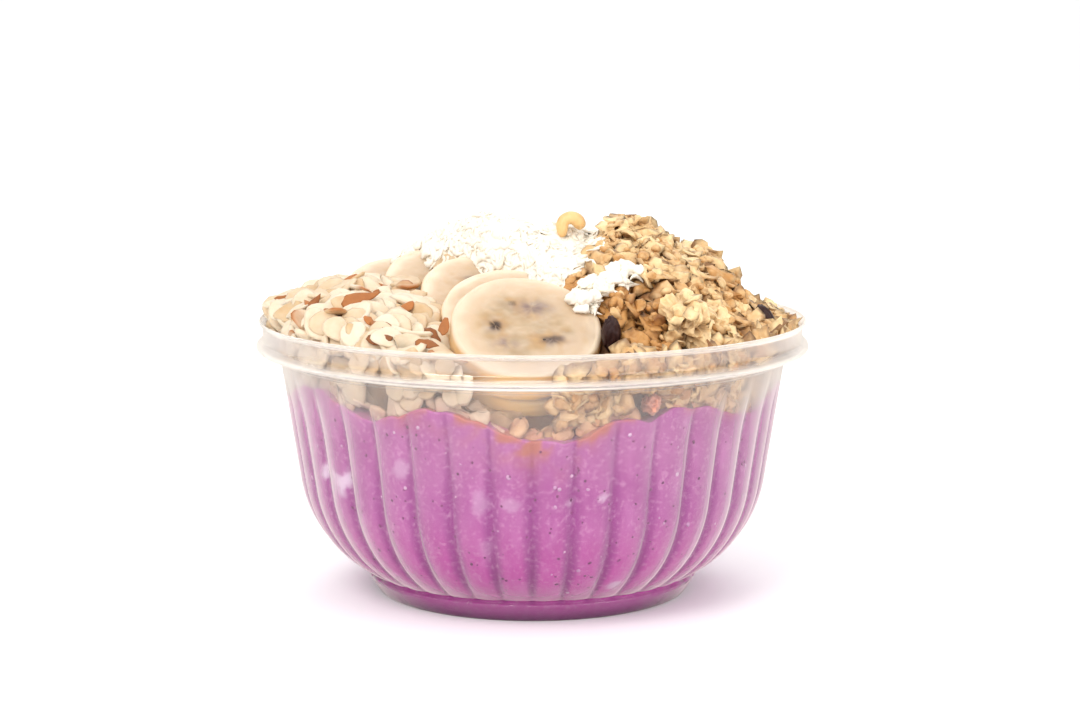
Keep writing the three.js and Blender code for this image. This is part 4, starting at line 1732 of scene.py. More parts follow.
@dataclass
class BananaSlice:
    """One slice: a rounded edge, faint flats, a mottled face and its hearts of seeds.

    frame is its rotation, turn how far its hearts are turned round its axis, and ripe how deep its colours are.
    """

    centre: Array
    frame: Array
    radius: float
    half_thick: float
    turn: float
    hearts: tuple[Heart, ...] = HEARTS
    ripe: float = 0.5
    columns: int = 150
    face_rings: int = 62

    @classmethod
    def of_node(cls, node: str, turn: float, hearts: tuple[Heart, ...], ripe: float) -> "BananaSlice":
        """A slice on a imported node: on its box's middle, across its thinnest axis, as wide and as thick.

        Args:
            node: its name.
            turn: how far the hearts are turned.
            hearts: the hearts.
            ripe: how deep its colours are.

        Returns:
            The slice.
        """
        centre, axes, half = node_frame(node)
        axis = axes[:, 2]
        across = unit(np.cross([0, 0, 1.0], axis))
        turned = np.stack([across, np.cross(axis, across), axis], axis=1)
        return cls(centre, turned, float(half[:2].max()), float(half[2]), turn, hearts, ripe)

    def under(self, drop: float, half_thick: float, smaller: float) -> "BananaSlice":
        """Another slice right under this one, drop below its middle along its axis."""
        middle, turn = self.centre - self.frame[:, 2] * drop, self.turn + 0.8
        return BananaSlice(middle, self.frame, self.radius - smaller, half_thick, turn, ripe=1.0)

    def cleared(self, made: Surface, other: "BananaSlice", gap: float) -> Surface:
        """A surface of this slice, cut back to a crescent that clears another slice's disc.

        Points behind the disc's front arc, as seen along this slice's axis, are drawn forwards onto it.

        Args:
            made: this slice's surface.
            other: the other slice.
            gap: how far they stay apart.

        Returns:
            The same surface, cut back.
        """
        middle = (other.centre - self.centre) @ self.frame
        local = (made.vertices - self.centre) @ self.frame
        reach = other.radius + gap
        arc = middle[1] - np.sqrt(np.maximum(reach**2 - (local[:, 0] - middle[0]) ** 2, 0))
        local[:, 1] = np.where(local[:, 1] > arc, arc + 0.02 * (local[:, 1] - arc), local[:, 1])
        made.vertices = local @ self.frame.T + self.centre
        return made

    def surface(self, seed: int) -> Surface:
        """The slice: rings from the back face's middle, round the edge, to the front face's middle.

        Args:
            seed: the seed of its unevenness.

        Returns:
            The closed slice.
        """
        noise = SpaceNoise(seed)
        bevel, h = 1.2, self.half_thick
        quarter = np.linspace(0, math.pi / 2, 6)
        back = np.stack([np.array([4.0, 9.0, 14.0]) / self.radius, np.full(3, -h)], -1)
        low = np.stack([1 - bevel * (1 - np.sin(quarter)) / self.radius, -h + bevel * (1 - np.cos(quarter))], -1)
        side = np.stack([np.ones(6), np.linspace(-h + bevel, h - bevel, 8)[1:-1]], -1)
        high = low[::-1] * [1, -1]
        inwards = np.linspace(high[-1, 0], 0.02, self.face_rings)[1:]
        front = np.stack([inwards, np.full(len(inwards), h)], -1)
        profile = np.concatenate([back, low, side, high, front])
        angle = np.arange(self.columns) * TAU / self.columns
        outline = 1 + 0.014 * np.cos(3 * (angle - self.turn)) + 0.01 * np.cos(2 * angle + self.turn)
        rho = profile[:, :1] * self.radius * outline * 0.985
        level = np.broadcast_to(profile[:, 1:], rho.shape)
        local = np.stack([rho * np.cos(angle), rho * np.sin(angle), level], -1)
        share = rho / self.radius
        sunk = 0.35 * smoothstep(0.55, 0.0, share) + 0.25 * smoothstep(0.84, 0.95, share)
        on_face = (local[..., 2] > h - 0.01) & (share < 0.93)
        waves = noise.at(local * [1, 1, 0.3], 2.2) * 0.22 + noise.at(local, 0.9) * 0.1
        local[..., 2] += np.where(on_face, waves - 0.5 * sunk, 0)
        scores = 0.006 * noise.at(local * [0.25, 0.25, 2.6], 2.0) * (np.abs(local[..., 2]) < h - 0.6)
        local[..., :2] *= (1 + 0.01 * noise.at(local, 4.0) + scores)[..., None]
        made = ring_solid(local, np.array([0, 0, -h]), local[-1].mean(axis=0))
        made.marks = self.marks(made.vertices, noise)
        made.vertices = made.vertices @ self.frame.T + self.centre
        return made

    def marks(self, local: Array, noise: SpaceNoise) -> dict[str, Array]:
        """Where each colour lies: pale rim, darker core, and mauve hearts with their ochre and seed beds.

        Args:
            local: points about its middle.
            noise: what the colours follow.

        Returns:
            A share from 0 to 1 for each colour.
        """
        flat = local * [1, 1, 0]
        share = np.hypot(local[:, 0], local[:, 1]) / self.radius
        turned = np.arctan2(local[:, 1], local[:, 0])
        streaks = noise.at(np.stack([3 * np.cos(turned), 3 * np.sin(turned), share * 2], -1) + 20, 0.45)
        mottle = noise.at(flat + 50, 2.4) + 0.6 * noise.at(flat + 70, 1.1)
        rim = smoothstep(0.74, 0.97, share + 0.05 * noise.at(flat, 3.0))
        rayed = 0.35 * streaks * smoothstep(0.15, 0.55, share)
        core = smoothstep(0.78, 0.45, share) * np.clip(0.45 + rayed + 0.22 * mottle, 0, 1)
        heart, ochre, bed = np.zeros(len(local)), np.zeros(len(local)), np.zeros(len(local))
        for spot, middle in self.heart_places():
            size = np.array(spot.size)
            off = flat[:, :2] - middle
            near = np.exp(-((off / size) ** 2).sum(axis=1))
            rays = noise.at(np.stack([*(2.2 * unit(off + 1e-6).T), 0 * near + middle[0]], -1) + 40, 0.6)
            cloudy = np.clip(0.7 + 0.55 * noise.at(flat + middle[0] + 90, 1.6) + 0.3 * rays, 0, 1)
            heart = np.maximum(heart, spot.mauve * near * cloudy)
            wide = np.exp(-((off / (1.7 * size)) ** 2).sum(axis=1))
            ochre = np.maximum(ochre, 0.95 * spot.ochre * wide * smoothstep(-0.3, 0.5, noise.at(flat + 30, 2.2)))
            tight = np.exp(-((off / (0.62 * size)) ** 4).sum(axis=1))
            bed = np.maximum(bed, spot.seeded * tight * np.clip(0.95 + 0.9 * rays, 0, 1))
        on_face = smoothstep(self.half_thick - 1.6, self.half_thick - 0.9, local[:, 2])
        side = 1 - smoothstep(self.half_thick - 1.2, self.half_thick - 0.2, np.abs(local[:, 2]))
        return {
            "rim": np.clip(np.maximum(rim * (1.3 - 0.6 * self.ripe), 0.9 * side), 0, 1),
            "core": np.clip(core * (0.4 + self.ripe) * (1 - side), 0, 1),
            "heart": 0.85 * heart * on_face * (0.4 + 0.6 * self.ripe),
            "ochre": ochre * on_face,
            "bed": bed * on_face,
            "side": side * np.clip(0.75 + 0.6 * noise.at(local * [0.3, 0.3, 2.5], 2.0), 0, 1),
        }

    def heart_places(self) -> list[tuple[Heart, Array]]:
        """The hearts, each with its middle on the face in millimetres.

        Returns:
            The pairs.
        """
        turns = [self.turn + math.radians(spot.degrees) for spot in self.hearts]
        return [
            (spot, spot.away * self.radius * np.array([math.cos(turn), math.sin(turn)]))
            for spot, turn in zip(self.hearts, turns)
        ]

    def seeds(self, rng: Rng) -> tuple[Array, Array, Array]:
        """Places, rotations and sizes of the dark seeds, a few in each heart that has them.

        Args:
            rng: the random numbers.

        Returns:
            The three, for each seed.
        """
        spots = [
            middle + rng.normal(0, 0.24, (rng.integers(5, 9), 2)) * spot.size
            for spot, middle in self.heart_places() if spot.seeded > 0.5
        ]
        flat = np.concatenate(spots)
        local = np.column_stack([flat, np.full(len(flat), self.half_thick - 0.22)])
        places = local @ self.frame.T + self.centre
        upright = np.tile([[0, 0, 1.0]], (len(flat), 1))
        frames = self.frame @ turned_frames(upright, rng.uniform(0, TAU, len(flat)))
        size = rng.uniform(0.25, 0.62, len(flat))
        scale = np.stack([size * rng.uniform(1, 1.8, len(flat)), size, np.full(len(flat), 0.16)], -1)
        return places, frames, scale


@dataclass
class BananaRow:
    """The fanned slices, from the front to the back left, and the one that shows under the first."""

    slices: list[BananaSlice] = field(default_factory=lambda: [
        BananaSlice.of_node("banana_slice_1", 0.0, HEARTS + FRONT_HEARTS, 1.0),
        *(BananaSlice.of_node(f"banana_slice_{n + 1}", 1.3 * n, HEARTS, 0.3) for n in range(1, 5)),
    ])

    def stamp(self, plan: ToppingPlan) -> None:
        """Puts the slices on the pile, so that other pieces lie round and over them.

        Args:
            plan: the plan, whose pile grows.
        """
        for one in self.slices:
            half = np.array([one.radius, one.radius, one.half_thick])
            plan.stamp(one.centre, one.frame, half, False)
        front = self.slices[0]
        plan.keep_bare(front.centre + front.frame[:, 2] * front.half_thick, front.frame, front.radius + 3.0)

    def build(self) -> None:
        """Makes the slices and their seeds."""
        rng = np.random.default_rng(5)
        seeds = []
        for n, one in enumerate(self.slices):
            make_piece(f"banana_cut_{n + 1}", one.surface(50 + n), FLESH, (f"banana_slice_{n + 1}",))
            places, frames, scale = one.seeds(rng)
            seeds.append(laid(button(8), places, frames, scale, {"tone": rng.uniform(0, 1, len(places))}))
        make_piece("banana_seeds", joined(seeds), HEART_SEED)
        low = self.slices[0].under(drop=7.3, half_thick=2.8, smaller=0.7)
        crescent = low.cleared(low.surface(58), self.slices[1], gap=0.4)
        make_piece("banana_cut_low", crescent, PAINTED_LIGHT_FLESH, ("banana_slice_under",))


@dataclass
class Raisins:
    """The two raisins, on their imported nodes' own axes, wrinkled lengthways."""

    nodes: tuple[str, ...] = ("raisin_front", "raisin_right")

    def build(self) -> None:
        """Makes the raisins: an egg whose radius sinks along noisy creases."""
        for n, node in enumerate(self.nodes):
            centre, axes, half = node_frame(node)
            noise = SpaceNoise(80 + n)
            ball = ball_points(56, 40)
            crease = 1 - np.abs(noise.at(ball * [3, 3, 1.1] + 20, 1.0)) ** 0.6
            fine = noise.at(ball + 5, 0.3)
            radius = (1.0 - 0.16 * crease + 0.04 * fine)[..., None]
            egg = ring_solid(ball * radius, np.array([0, 0, -0.9]), np.array([0, 0, 0.9]))
            # painted shade: the creases stay darker than the paler ridges between them
            egg.mark_rings(mark=np.clip(0.5 - crease, 0, 1))
            long_last = axes[:, [1, 2, 0]]
            marks = {"tone": np.array([0.4]), "stain": np.zeros(1)}
            made = laid(egg, centre[None], long_last[None], half[None, [1, 2, 0]], marks)
            make_piece(f"{node}_wrinkled", made, RAISIN, (node,))


# ---------------------------------------------------------------- the heaps


def dress_core(core: Surface, seed: int, amount: float, size: float) -> None:
    """Roughens a core and darkens its hollows as painted shade: each vertex moves up and down by layered noise.

    Args:
        core: the core, which is changed.
        seed: the seed of the noise.
        amount: how far vertices move.
        size: the size of the largest bumps.
    """
    noise = SpaceNoise(seed)
    push = noise.layers(core.vertices, size)
    core.vertices = core.vertices + np.stack([0 * push, 0 * push, amount * push], -1)
    core.marks = {
        "tone": np.clip(0.5 + 0.5 * noise.at(core.vertices, 6.0), 0, 1),
        # painted shade in the hollows
        "mark": np.clip(-push, 0, 1),
        "stain": np.zeros(len(push)),
    }


@dataclass
class Heap:
    """A topping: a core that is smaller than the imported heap, and loose pieces on it and against the wall."""

    plan: ToppingPlan
    seed: int = 0

    def __post_init__(self) -> None:
        """Starts the random numbers that all of its pieces draw from."""
        self.rng = np.random.default_rng(self.seed)

    def marked(self, layout: Layout, shapes: list[Surface], bias: float = 1.0) -> Surface:
        """The copies of a layout, each with a random tone and with a stain near the smoothie.

        Args:
            layout: where the copies lie.
            shapes: the shapes that they take.
            bias: the power that the random tone is raised to, which makes more of them light.

        Returns:
            All copies as one surface.
        """
        tone = self.rng.uniform(0, 1, len(layout.kinds)) ** bias
        marks = {"tone": tone, "stain": stain_of(self.plan, layout.places, self.rng)}
        return layout.surface(shapes, self.plan.form, marks)


@dataclass
class AlmondHeap(Heap):
    """Flaked almonds at the left: a crumbly core, flakes on it and at the wall, and scraps of brown skin."""

    FLAKE = (5.4, 4.1, 1.2)  # half the length, half the width and the thickness of a whole one
    SCRAP = (2.4, 1.5)  # half the length and the width of a loose scrap of skin

    seed: int = 21
    # Scraps that show between the flakes: X, Y, Z, half their length and width, and their turn in degrees.
    scraps: tuple[tuple[float, float, float, float, float, float], ...] = (
        (-42.7, -33.0, 79.2, 4.4, 2.2, 20), (-36, -53, 72.2, 3.2, 1.7, 0), (-25, -56.5, 71.6, 2.4, 1.5, -15),
        (-21, -47.5, 74.6, 2.8, 1.2, 80), (-53.5, -30.5, 78.2, 2.0, 1.2, 60), (-30.5, -32, 77.4, 2.0, 1.3, 40),
        (-62, -15, 77.4, 2.8, 0.9, 5),
    )

    def shapes(self) -> list[Surface]:
        """Whole and snapped flakes, of which one in ten keeps a rim of skin.

        Returns:
            The shapes.
        """
        whole = [
            FlakeShape(60 + n, 14, *self.FLAKE, point=0.32, ragged=0.06, curl=0.5, crumple=0.35, skin=skin)
            for n, skin in enumerate((0.0, 0.0, 0.0, 0.0, 0.0, 0.25))
        ]
        snapped = [
            FlakeShape(70 + n, 14, *self.FLAKE, curl=0.4, ragged=0.08, crumple=0.3, broken=0.15 * n - 0.1)
            for n in range(4)
        ]
        return [shape.surface() for shape in whole + snapped]

    def lay_flakes(self, area: Array) -> None:
        """Makes the flakes: over the cells of an area, and in two layers at the wall.

        Args:
            area: the cells.
        """
        plan, rng, shapes = self.plan, self.rng, self.shapes()
        kinds = len(shapes)
        heaped = Deposit(
            1300, (*self.FLAKE[:2], 0.65), kinds, spread=0.3, tilt=28, sink=0.68, proud=2.4, front=1.0
        ).heap(plan, area, rng)
        walls = [
            wall_layout(
                plan, Topping.ALMONDS, kinds, rng, count=count, depth=depth, tilt=tilt, spread=0.25, swing=swing
            )
            for count, depth, tilt, swing in ((170, 0.6, 9, 0.5), (300, 4.5, 22, 0.7))
        ]
        for layer in walls:
            layer.scale = layer.scale * [0.85, 0.75, 1]
        make_piece("almond_flakes", self.marked(merged([heaped, *walls]), shapes, 1.6), ALMOND)
        log.info("almond flakes: %d on the heap", len(heaped.kinds))

    def lay_skins(self, area: Array) -> None:
        """Makes the scraps of skin: those with their own places, and loose ones over the cells of an area.

        Args:
            area: the cells.
        """
        shapes = [
            FlakeShape(80 + n, 12, 1.0, 1.0, 0.4, point=0.3, ragged=0.2, curl=0.2, crumple=0.2).surface()
            for n in range(4)
        ]
        loose = Deposit(
            40, (*self.SCRAP, 0.4), len(shapes), spread=0.5, tilt=25, sink=0.9, proud=1.8, front=0.7
        ).heap(self.plan, area, self.rng)
        loose.scale = loose.scale * [*self.SCRAP, 1]
        table = np.array(self.scraps)
        facing = np.tile(unit(np.array([0.0, -0.8, 0.7])), (len(table), 1))
        size = np.column_stack([table[:, 3:5], np.ones(len(table))])
        kinds = np.arange(len(table)) % len(shapes)
        placed = Layout(kinds, table[:, :3], turned_frames(facing, np.radians(table[:, 5])), size)
        make_piece("almond_skins", self.marked(merged([placed, loose]), shapes), ALMOND_SKIN)

    def build(self) -> None:
        """Makes the core, the flakes and the scraps."""
        core = self.plan.core(Topping.ALMONDS, rows=70, columns=44, inset=4.0)
        dress_core(core, seed=91, amount=0.8, size=4.0)
        make_piece("almond_bed", core, ALMOND_BED, ("almond_heap",))
        area = self.plan.area(Topping.ALMONDS, reach=66, margin=0.0)
        self.lay_flakes(area)
        self.lay_skins(area)


@dataclass
class CoconutHeap(Heap):
    """Shredded coconut over the top: a core of fine clumps, shreds on it and at the wall, and a spill."""

    SHRED = (2.0, 1.0, 0.4)  # half the size of a shred
    CLUMP = (2.3, 1.9, 1.3)  # half the size of a spilt clump

    seed: int = 31

    def dusted(self) -> Array:
        """Cells beside the heap that catch shreds: the granola's edge, the spill over it, and the slices.

        Returns:
            A mask.
        """
        plan = self.plan
        left, right = plan.borders(plan.y)
        edge = (plan.x > right - 1) & (plan.x < right + 3) & (plan.y > -30) & (plan.y < -8)
        row = (plan.x > left - 14) & (plan.x < left + 2) & (plan.y > -10) & (plan.y < 40)
        return edge | row | self.tongue()

    def tongue(self) -> Array:
        """Cells of the clumps that spill over the granola, along a line back from the front slice.

        Returns:
            A mask.
        """
        plan = self.plan
        start, run = np.array([13.2, -37.5]), np.array([11.5, 8.0])
        along = np.clip(((plan.x - start[0]) * run[0] + (plan.y - start[1]) * run[1]) / (run @ run), 0, 1)
        nearest = start + along[..., None] * run
        return np.hypot(plan.x - nearest[..., 0], plan.y - nearest[..., 1]) < 3.3 - 1.6 * along

    def core(self) -> Surface:
        """The relief core: clumps of two sizes pushed out of it, cream here and there, a little darker in its
        hollows as painted shade.

        Returns:
            The core.
        """
        made = self.plan.core(Topping.COCONUT, rows=190, columns=150, inset=2.0)
        noise = SpaceNoise(93)
        push = 0.8 * noise.at(made.vertices, 5.0) + 0.45 * noise.at(made.vertices, 2.0)
        made.vertices = made.vertices + np.stack([0.3 * push, 0.3 * np.roll(push, 7), push], -1)
        made.marks = {
            # painted shade: the tone darkens the hollows a little
            "tone": np.clip(0.35 - 0.5 * push, 0, 1),
            "mark": smoothstep(0.0, 0.9, noise.at(made.vertices + 60, 14.0)),
            "stain": np.zeros(len(push)),
        }
        return made

    def lay_shreds(self) -> None:
        """Makes the shreds: on the heap, beside it and at the wall."""
        plan, rng = self.plan, self.rng
        shapes = [shred(40 + n, length=4.0, width=1.8, thick=0.7) for n in range(5)]
        shapes += [shred(50 + n, length=2.6, width=2.3, thick=1.2) for n in range(3)]
        area, kinds = plan.area(Topping.COCONUT, reach=65, margin=-1.0), len(shapes)
        heap = Deposit(1500, self.SHRED, kinds, spread=0.35, tilt=8, sink=0.98, domed=True, proud=0.7)
        dust = Deposit(200, self.SHRED, kinds, spread=0.4, tilt=18, sink=0.6, domed=True, proud=2.6)
        layouts = [heap.heap(plan, area, rng), dust.heap(plan, self.dusted(), rng)]
        layouts.append(wall_layout(plan, Topping.COCONUT, kinds, rng, count=1500, depth=1.6, tilt=30))
        make_piece("coconut_shreds", self.marked(merged(layouts), shapes), COCONUT)
        log.info("coconut shreds: %d on the heap, %d beside it", *(len(one.kinds) for one in layouts[:2]))

    def lay_clumps(self) -> None:
        """Makes the clumps that spill over the granola."""
        balls = [LumpShape(150 + n, columns=16, rows=9, plates=12, rough=0.3).surface() for n in range(4)]
        spill = Deposit(17, self.CLUMP, len(balls), spread=0.4, tilt=25, sink=0.9, domed=True, proud=5.0)
        spilt = spill.heap(self.plan, self.tongue(), self.rng)
        spilt.scale = spilt.scale * self.CLUMP
        make_piece("coconut_clumps", self.marked(spilt, balls), COCONUT)

    def build(self) -> None:
        """Makes the core, the shreds and the clumps."""
        make_piece("coconut_bed", self.core(), COCONUT, ("coconut_heap",))
        self.lay_shreds()
        self.lay_clumps()


@dataclass
class GranolaHeap(Heap):
    """Granola at the right: a core darkened as painted shade, craggy clusters, oats, crumbs and the cashew at the
    crest.
    """

    CLUSTER = (6.8, 5.4, 4.6)  # half the size of a cluster
    CRUST_OAT = (3.2, 3.0, 2.6)  # the scale of the oats stuck on the clusters
    LOOSE_OAT = (3.7, 3.6, 3.2)  # the scale of the loose ones
    CRUMB = (1.5, 1.2, 1.0)  # half the size of a crumb
    OATS_EACH = 8  # oats stuck on a cluster

    seed: int = 41
    # Large clusters that stand out: X, Y, Z, half their three sizes, and how toasted each is.
    heroes: tuple[tuple[float, ...], ...] = (
        (37.5, -43.5, 75.2, 9.2, 5.6, 6.0, -0.1), (25.5, 0, 91.2, 5.6, 4.6, 5.0, 0.55),
        (44, 2, 83.5, 5.8, 4.6, 4.6, 0.3), (61, -9, 70.2, 3.6, 2.8, 2.6, 0.7),
        (20, -8, 88.0, 4.6, 4.0, 3.6, 0.35),
    )

    def __post_init__(self) -> None:
        """Starts the random numbers, and makes the shapes of the clusters and the oats."""
        super().__post_init__()
        self.lumps = [
            LumpShape(120 + n, columns=38, rows=21, plates=30, rough=0.34, ridges=0.7).surface()
            for n in range(7)
        ]
        self.oats = [
            FlakeShape(
                100 + n, 10, 1.0, 0.8, 0.3, point=0.15, ragged=0.14, curl=0.4 - 0.12 * n, crumple=0.45,
                shoulder=0.6, folds=0.8,
            ).surface()
            for n in range(7)
        ]

    def cashew(self) -> Surface:
        """A cashew standing on the crest: a round body along an uneven arch, thickest at its bend.

        Returns:
            The closed cashew.
        """
        turn = np.linspace(-0.34, 1.1, 31) * math.pi
        bend = np.clip(turn, 0, math.pi)
        leg = np.abs(turn - bend) * 2.6
        middle = np.stack([-2.35 * np.cos(bend), 0.3 * np.sin(2 * turn), 2.2 * np.sin(bend) - leg], -1)
        outwards = np.stack([-np.cos(bend), 0 * turn, np.sin(bend)], -1)
        noise = SpaceNoise(97)
        ends = np.clip(1 - ((turn / math.pi - 0.38) / 0.73) ** 6, 0.03, 1)
        girth = (1.45 + 0.45 * turn / math.pi) * np.sqrt(ends)
        spin = np.arange(24)[:, None] * TAU / 24
        section = np.cos(spin) * outwards[:, None] + np.sin(spin) * np.array([0, 1.15, 0])
        rough = 1 + 0.12 * noise.at(middle[:, None] + section, 1.6)[..., None]
        rings = middle[:, None] + girth[:, None, None] * section * rough
        made = ring_solid(rings[:, ::-1], middle[0] - [0, 0, 0.2], middle[-1] - [0, 0, 0.2])
        cos, sin = math.cos(0.3), math.sin(0.3)
        made.vertices = made.vertices @ np.array([[cos, sin, 0], [-sin, cos, 0], [0, 0, 1]]) + [9.8, -1.0, 94.1]
        # painted shade: browner where the surface dips
        made.mark_rings(mark=np.clip(6 * (1.0 - rough[..., 0]), 0, 0.6))
        made.marks |= {"tone": np.full(len(made.vertices), 0.35), "stain": np.zeros(len(made.vertices))}
        return made

    def crust(self, heads: Layout) -> Layout:
        """Oats stuck all round each cluster, nearly flat on it.

        Args:
            heads: the clusters.

        Returns:
            Where the oats lie: in even random directions from a cluster's middle, sunk a little into it.
        """
        rng = self.rng
        ball = unit(rng.normal(size=(len(heads.kinds), self.OATS_EACH, 3)))
        local = ball * heads.scale[:, None] * rng.uniform(0.86, 1.02, ball.shape[:2] + (1,))
        outwards = unit(ball / heads.scale[:, None]) + rng.normal(0, 0.28, ball.shape)
        places = heads.places[:, None] + np.einsum("nij,nkj->nki", heads.frames, local)
        normals = unit(np.einsum("nij,nkj->nki", heads.frames, outwards)).reshape(-1, 3)
        count = len(normals)
        frames = turned_frames(normals, rng.uniform(0, TAU, count))
        size = self.CRUST_OAT * rng.uniform(0.7, 1.15, (count, 1))
        return Layout(rng.integers(len(self.oats), size=count), places.reshape(-1, 3), frames, size)

    def shaded_tone(self, layout: Layout, own: Array) -> dict[str, Array]:
        """How dark and how stained pieces are.

        Args:
            layout: where they lie.
            own: each piece's own tone.

        Returns:
            The tone, varied a little at random, darker in the heap's fold by the slices as painted shade and
            lighter over the crest and at the wall as painted light; and the stain.
        """
        x, y, z = layout.places.T
        # painted shade in the low fold at the front, painted light over the crest and at the wall
        deep = 0.95 * smoothstep(86, 76, z) * smoothstep(40, 28, x) - 0.3 * smoothstep(76, 88, z)
        deep = np.where(np.hypot(x, y) > 60, -0.3, deep)
        return {
            "tone": np.clip(own + deep + self.rng.uniform(-0.22, 0.22, len(own)), -0.2, 1.2),
            "stain": stain_of(self.plan, layout.places, self.rng),
        }

    def lay_clusters(self) -> None:
        """Makes the clusters, the large ones first, and the oats stuck on those of the heap."""
        plan, rng, kinds = self.plan, self.rng, len(self.lumps)
        table = np.array(self.heroes)
        frames = self.hero_frames()
        for place, turned, half in zip(table[:, :3], frames, table[:, 3:6]):
            plan.stamp(place, turned, half, True)
        heroes = Layout(np.arange(len(table)), table[:, :3], frames, table[:, 3:6])
        area = plan.area(Topping.GRANOLA, reach=61, margin=4.0)
        clumps = Deposit(300, self.CLUSTER, kinds, spread=0.4, tilt=30, sink=0.66, domed=True)
        heaped = clumps.heap(plan, area, rng)
        at_wall = wall_layout(plan, Topping.GRANOLA, kinds, rng, count=60, depth=1.0, tilt=25, ceiling=65.5)
        heaped.scale = heaped.scale * self.CLUSTER
        at_wall.scale = at_wall.scale * self.CLUSTER * [0.8, 0.8, 0.5]
        heads = merged([heroes, heaped])
        clusters = merged([heads, at_wall])
        own = rng.uniform(0, 0.75, len(clusters.kinds)) ** 1.3
        own[: len(table)] = table[:, 6]
        surface = clusters.surface(self.lumps, plan.form, self.shaded_tone(clusters, own))
        make_piece("granola_clusters", surface, OATS, smooth=False)
        crust = self.crust(heads)
        marks = self.shaded_tone(crust, np.repeat(own[: len(heads.kinds)], self.OATS_EACH))
        make_piece("granola_crust", crust.surface(self.oats, plan.form, marks), OATS)
        log.info("granola clusters: %d on the heap, %d at the wall", len(heads.kinds), len(at_wall.kinds))

    def hero_frames(self) -> Array:
        """Rotations of the large clusters, which all face a little to the front."""
        upright = np.tile([[0.15, -0.35, 0.92]], (len(self.heroes), 1))
        return turned_frames(unit(upright), np.full(len(self.heroes), 0.1))

    def lay_oats(self, area: Array) -> None:
        """Makes the loose oats: over the cells of an area, and in two layers at the wall.

        Args:
            area: the cells.
        """
        plan, rng, kinds = self.plan, self.rng, len(self.oats)
        loose = Deposit(700, (3.6, 2.9, 0.6), kinds, spread=0.35, tilt=34, sink=0.6, proud=1.8, front=0.3)
        layout = merged([
            loose.heap(plan, area, rng),
            wall_layout(plan, Topping.GRANOLA, kinds, rng, count=620, depth=1.4, tilt=25),
            wall_layout(plan, Topping.GRANOLA, kinds, rng, count=640, depth=3.6, tilt=40),
        ])
        layout.scale = layout.scale * self.LOOSE_OAT
        marks = self.shaded_tone(layout, rng.uniform(0, 0.8, len(layout.kinds)))
        make_piece("granola_oats", layout.surface(self.oats, plan.form, marks), OATS)

    def lay_crumbs(self, area: Array) -> None:
        """Makes the crumbs: over the cells of an area, at the wall, and the one that is soaked in smoothie.

        Args:
            area: the cells.
        """
        plan, rng = self.plan, self.rng
        shapes = [LumpShape(140 + n, columns=8, rows=5, plates=6, rough=0.3).surface() for n in range(5)]
        kinds = len(shapes)
        bits = Deposit(500, self.CRUMB, kinds, spread=0.5, tilt=40, sink=0.5, domed=True, proud=1.4)
        heaped = bits.heap(plan, area, rng)
        wall = wall_layout(plan, Topping.GRANOLA, kinds, rng, count=260, depth=1.5, tilt=40, spread=0.4)
        heaped.scale, wall.scale = heaped.scale * self.CRUMB, wall.scale * [2.0, 1.7, 1.4]
        make_piece("granola_crumbs", self.marked(merged([heaped, wall]), shapes), OATS)
        marks = {"tone": np.array([0.3]), "stain": np.zeros(1)}
        size = np.array([[3.1, 2.2, 2.4]])
        soaked = laid(self.lumps[2], np.array([SOAKED_AT]), self.hero_frames()[:1], size, marks)
        make_piece("granola_soaked", soaked, SOAKED)

    def build(self) -> None:
        """Makes the core, the clusters, the loose oats, the crumbs and the cashew."""
        core = self.plan.core(Topping.GRANOLA, rows=70, columns=50, inset=4.0)
        dress_core(core, seed=95, amount=1.6, size=6.0)
        make_piece("granola_bed", core, OAT_BED, ("granola_heap",))
        self.lay_clusters()
        area = self.plan.area(Topping.GRANOLA, reach=66, margin=1.0)
        self.lay_oats(area)
        self.lay_crumbs(area)
        make_piece("cashew_roasted", self.cashew(), NUT, ("cashew",))


# ---------------------------------------------------------------- studio


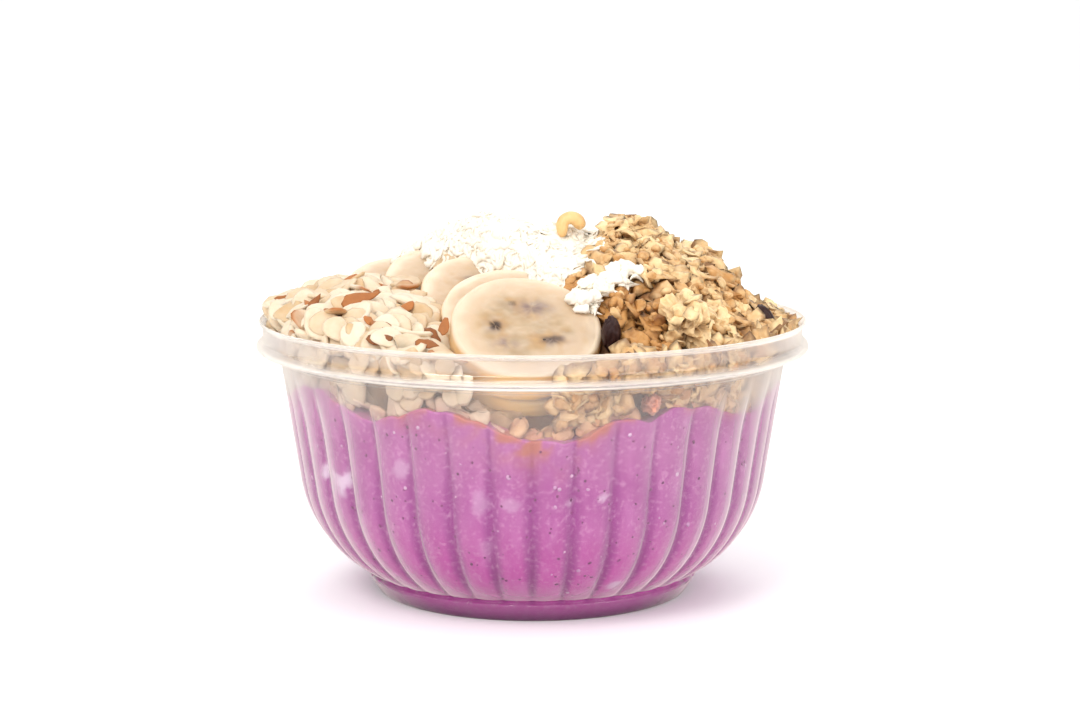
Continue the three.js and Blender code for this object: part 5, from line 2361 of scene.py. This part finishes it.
@dataclass
class Studio:
    """The pale floor, the soft lights and the camera."""

    camera_place: tuple[float, float, float] = (1.9, -643.0, 156.4)
    camera_down: float = 8.59
    focal: float = 83.7
    floor_reach: float = 30000.0

    def floor(self) -> None:
        """A wide round board, with rings close together near the bowl."""
        radii = np.geomspace(5, self.floor_reach, 32)[:, None]
        angle = (np.arange(64) * TAU / 64)[None, :]
        top = around(angle, radii, 0.0)
        under = around(angle, radii, -20.0)
        rings = np.concatenate([under, top[::-1]])
        made = ring_solid(rings, np.array([0, 0, -20.0]), np.array([0, 0, 0.0]))
        mesh = bpy.data.meshes.new("floor")
        faces = made.quads.tolist() + made.triangles.tolist()
        mesh.from_pydata((made.vertices * MM).tolist(), [], faces)
        board = bpy.data.objects.new("floor", mesh)
        mesh.materials.append(BOARD.material())
        bpy.context.scene.collection.objects.link(board)

    def light(self, name: str, place: tuple[float, float, float], size: float, watts: float, tint: str) -> None:
        """A soft square light that looks at the middle of the bowl.

        Args:
            name: its name.
            place: its middle.
            size: its side.
            watts: its power.
            tint: its colour.
        """
        lamp = bpy.data.lights.new(name, "AREA")
        lamp.size, lamp.energy, lamp.color = size * MM, watts, colour(tint)[:3]
        made = bpy.data.objects.new(name, lamp)
        made.location = Vector(place) * MM
        made.rotation_euler = (Vector((0, 0, 50)) * MM - made.location).to_track_quat("-Z", "Y").to_euler()
        bpy.context.scene.collection.objects.link(made)

    def build(self) -> None:
        """Sets the floor, the lights, the white surroundings and the camera."""
        self.floor()
        self.light("key_light", (-450, -750, 850), 600, 6.5, "#FFFDFB")
        self.light("fill_light", (800, -600, 450), 700, 2.6, "#FFFFFF")
        self.light("low_light", (0, -900, 60), 900, 1.4, "#FFFFFF")
        self.light("back_light", (100, 700, 900), 700, 2.5, "#FFFFFF")
        world = bpy.data.worlds.new("white_surroundings")
        world.use_nodes = True
        world.node_tree.nodes.clear()
        sky = add_node(world.node_tree, "Background", {"Color": colour("#FFFFFF"), "Strength": 1.02})
        add_node(world.node_tree, "OutputWorld", {"Surface": sky})
        scene = bpy.context.scene
        scene.world = world
        scene.view_settings.view_transform = "Standard"
        camera = bpy.data.cameras.new("camera")
        camera.lens, camera.sensor_width, camera.sensor_fit = self.focal, 36.0, "HORIZONTAL"
        camera.clip_end = 60.0
        seat = bpy.data.objects.new("camera", camera)
        seat.location = Vector(self.camera_place) * MM
        seat.rotation_euler = (math.radians(90 - self.camera_down), 0, 0)
        scene.collection.objects.link(seat)
        scene.camera = seat


def main() -> None:
    """Builds the bowl from the wall inwards, then the toppings in the order that they are laid."""
    logging.basicConfig(level=logging.INFO, format="%(message)s")
    form = BowlForm()
    smoothie = Smoothie(form)
    plan = ToppingPlan(form, smoothie)
    PlasticBowl(form).build()
    smoothie.build()
    row = BananaRow()
    row.build()
    row.stamp(plan)
    Raisins().build()
    for heap in (AlmondHeap(plan), GranolaHeap(plan), CoconutHeap(plan)):
        heap.build()
    Studio().build()


if __name__ == "__main__":
    main()
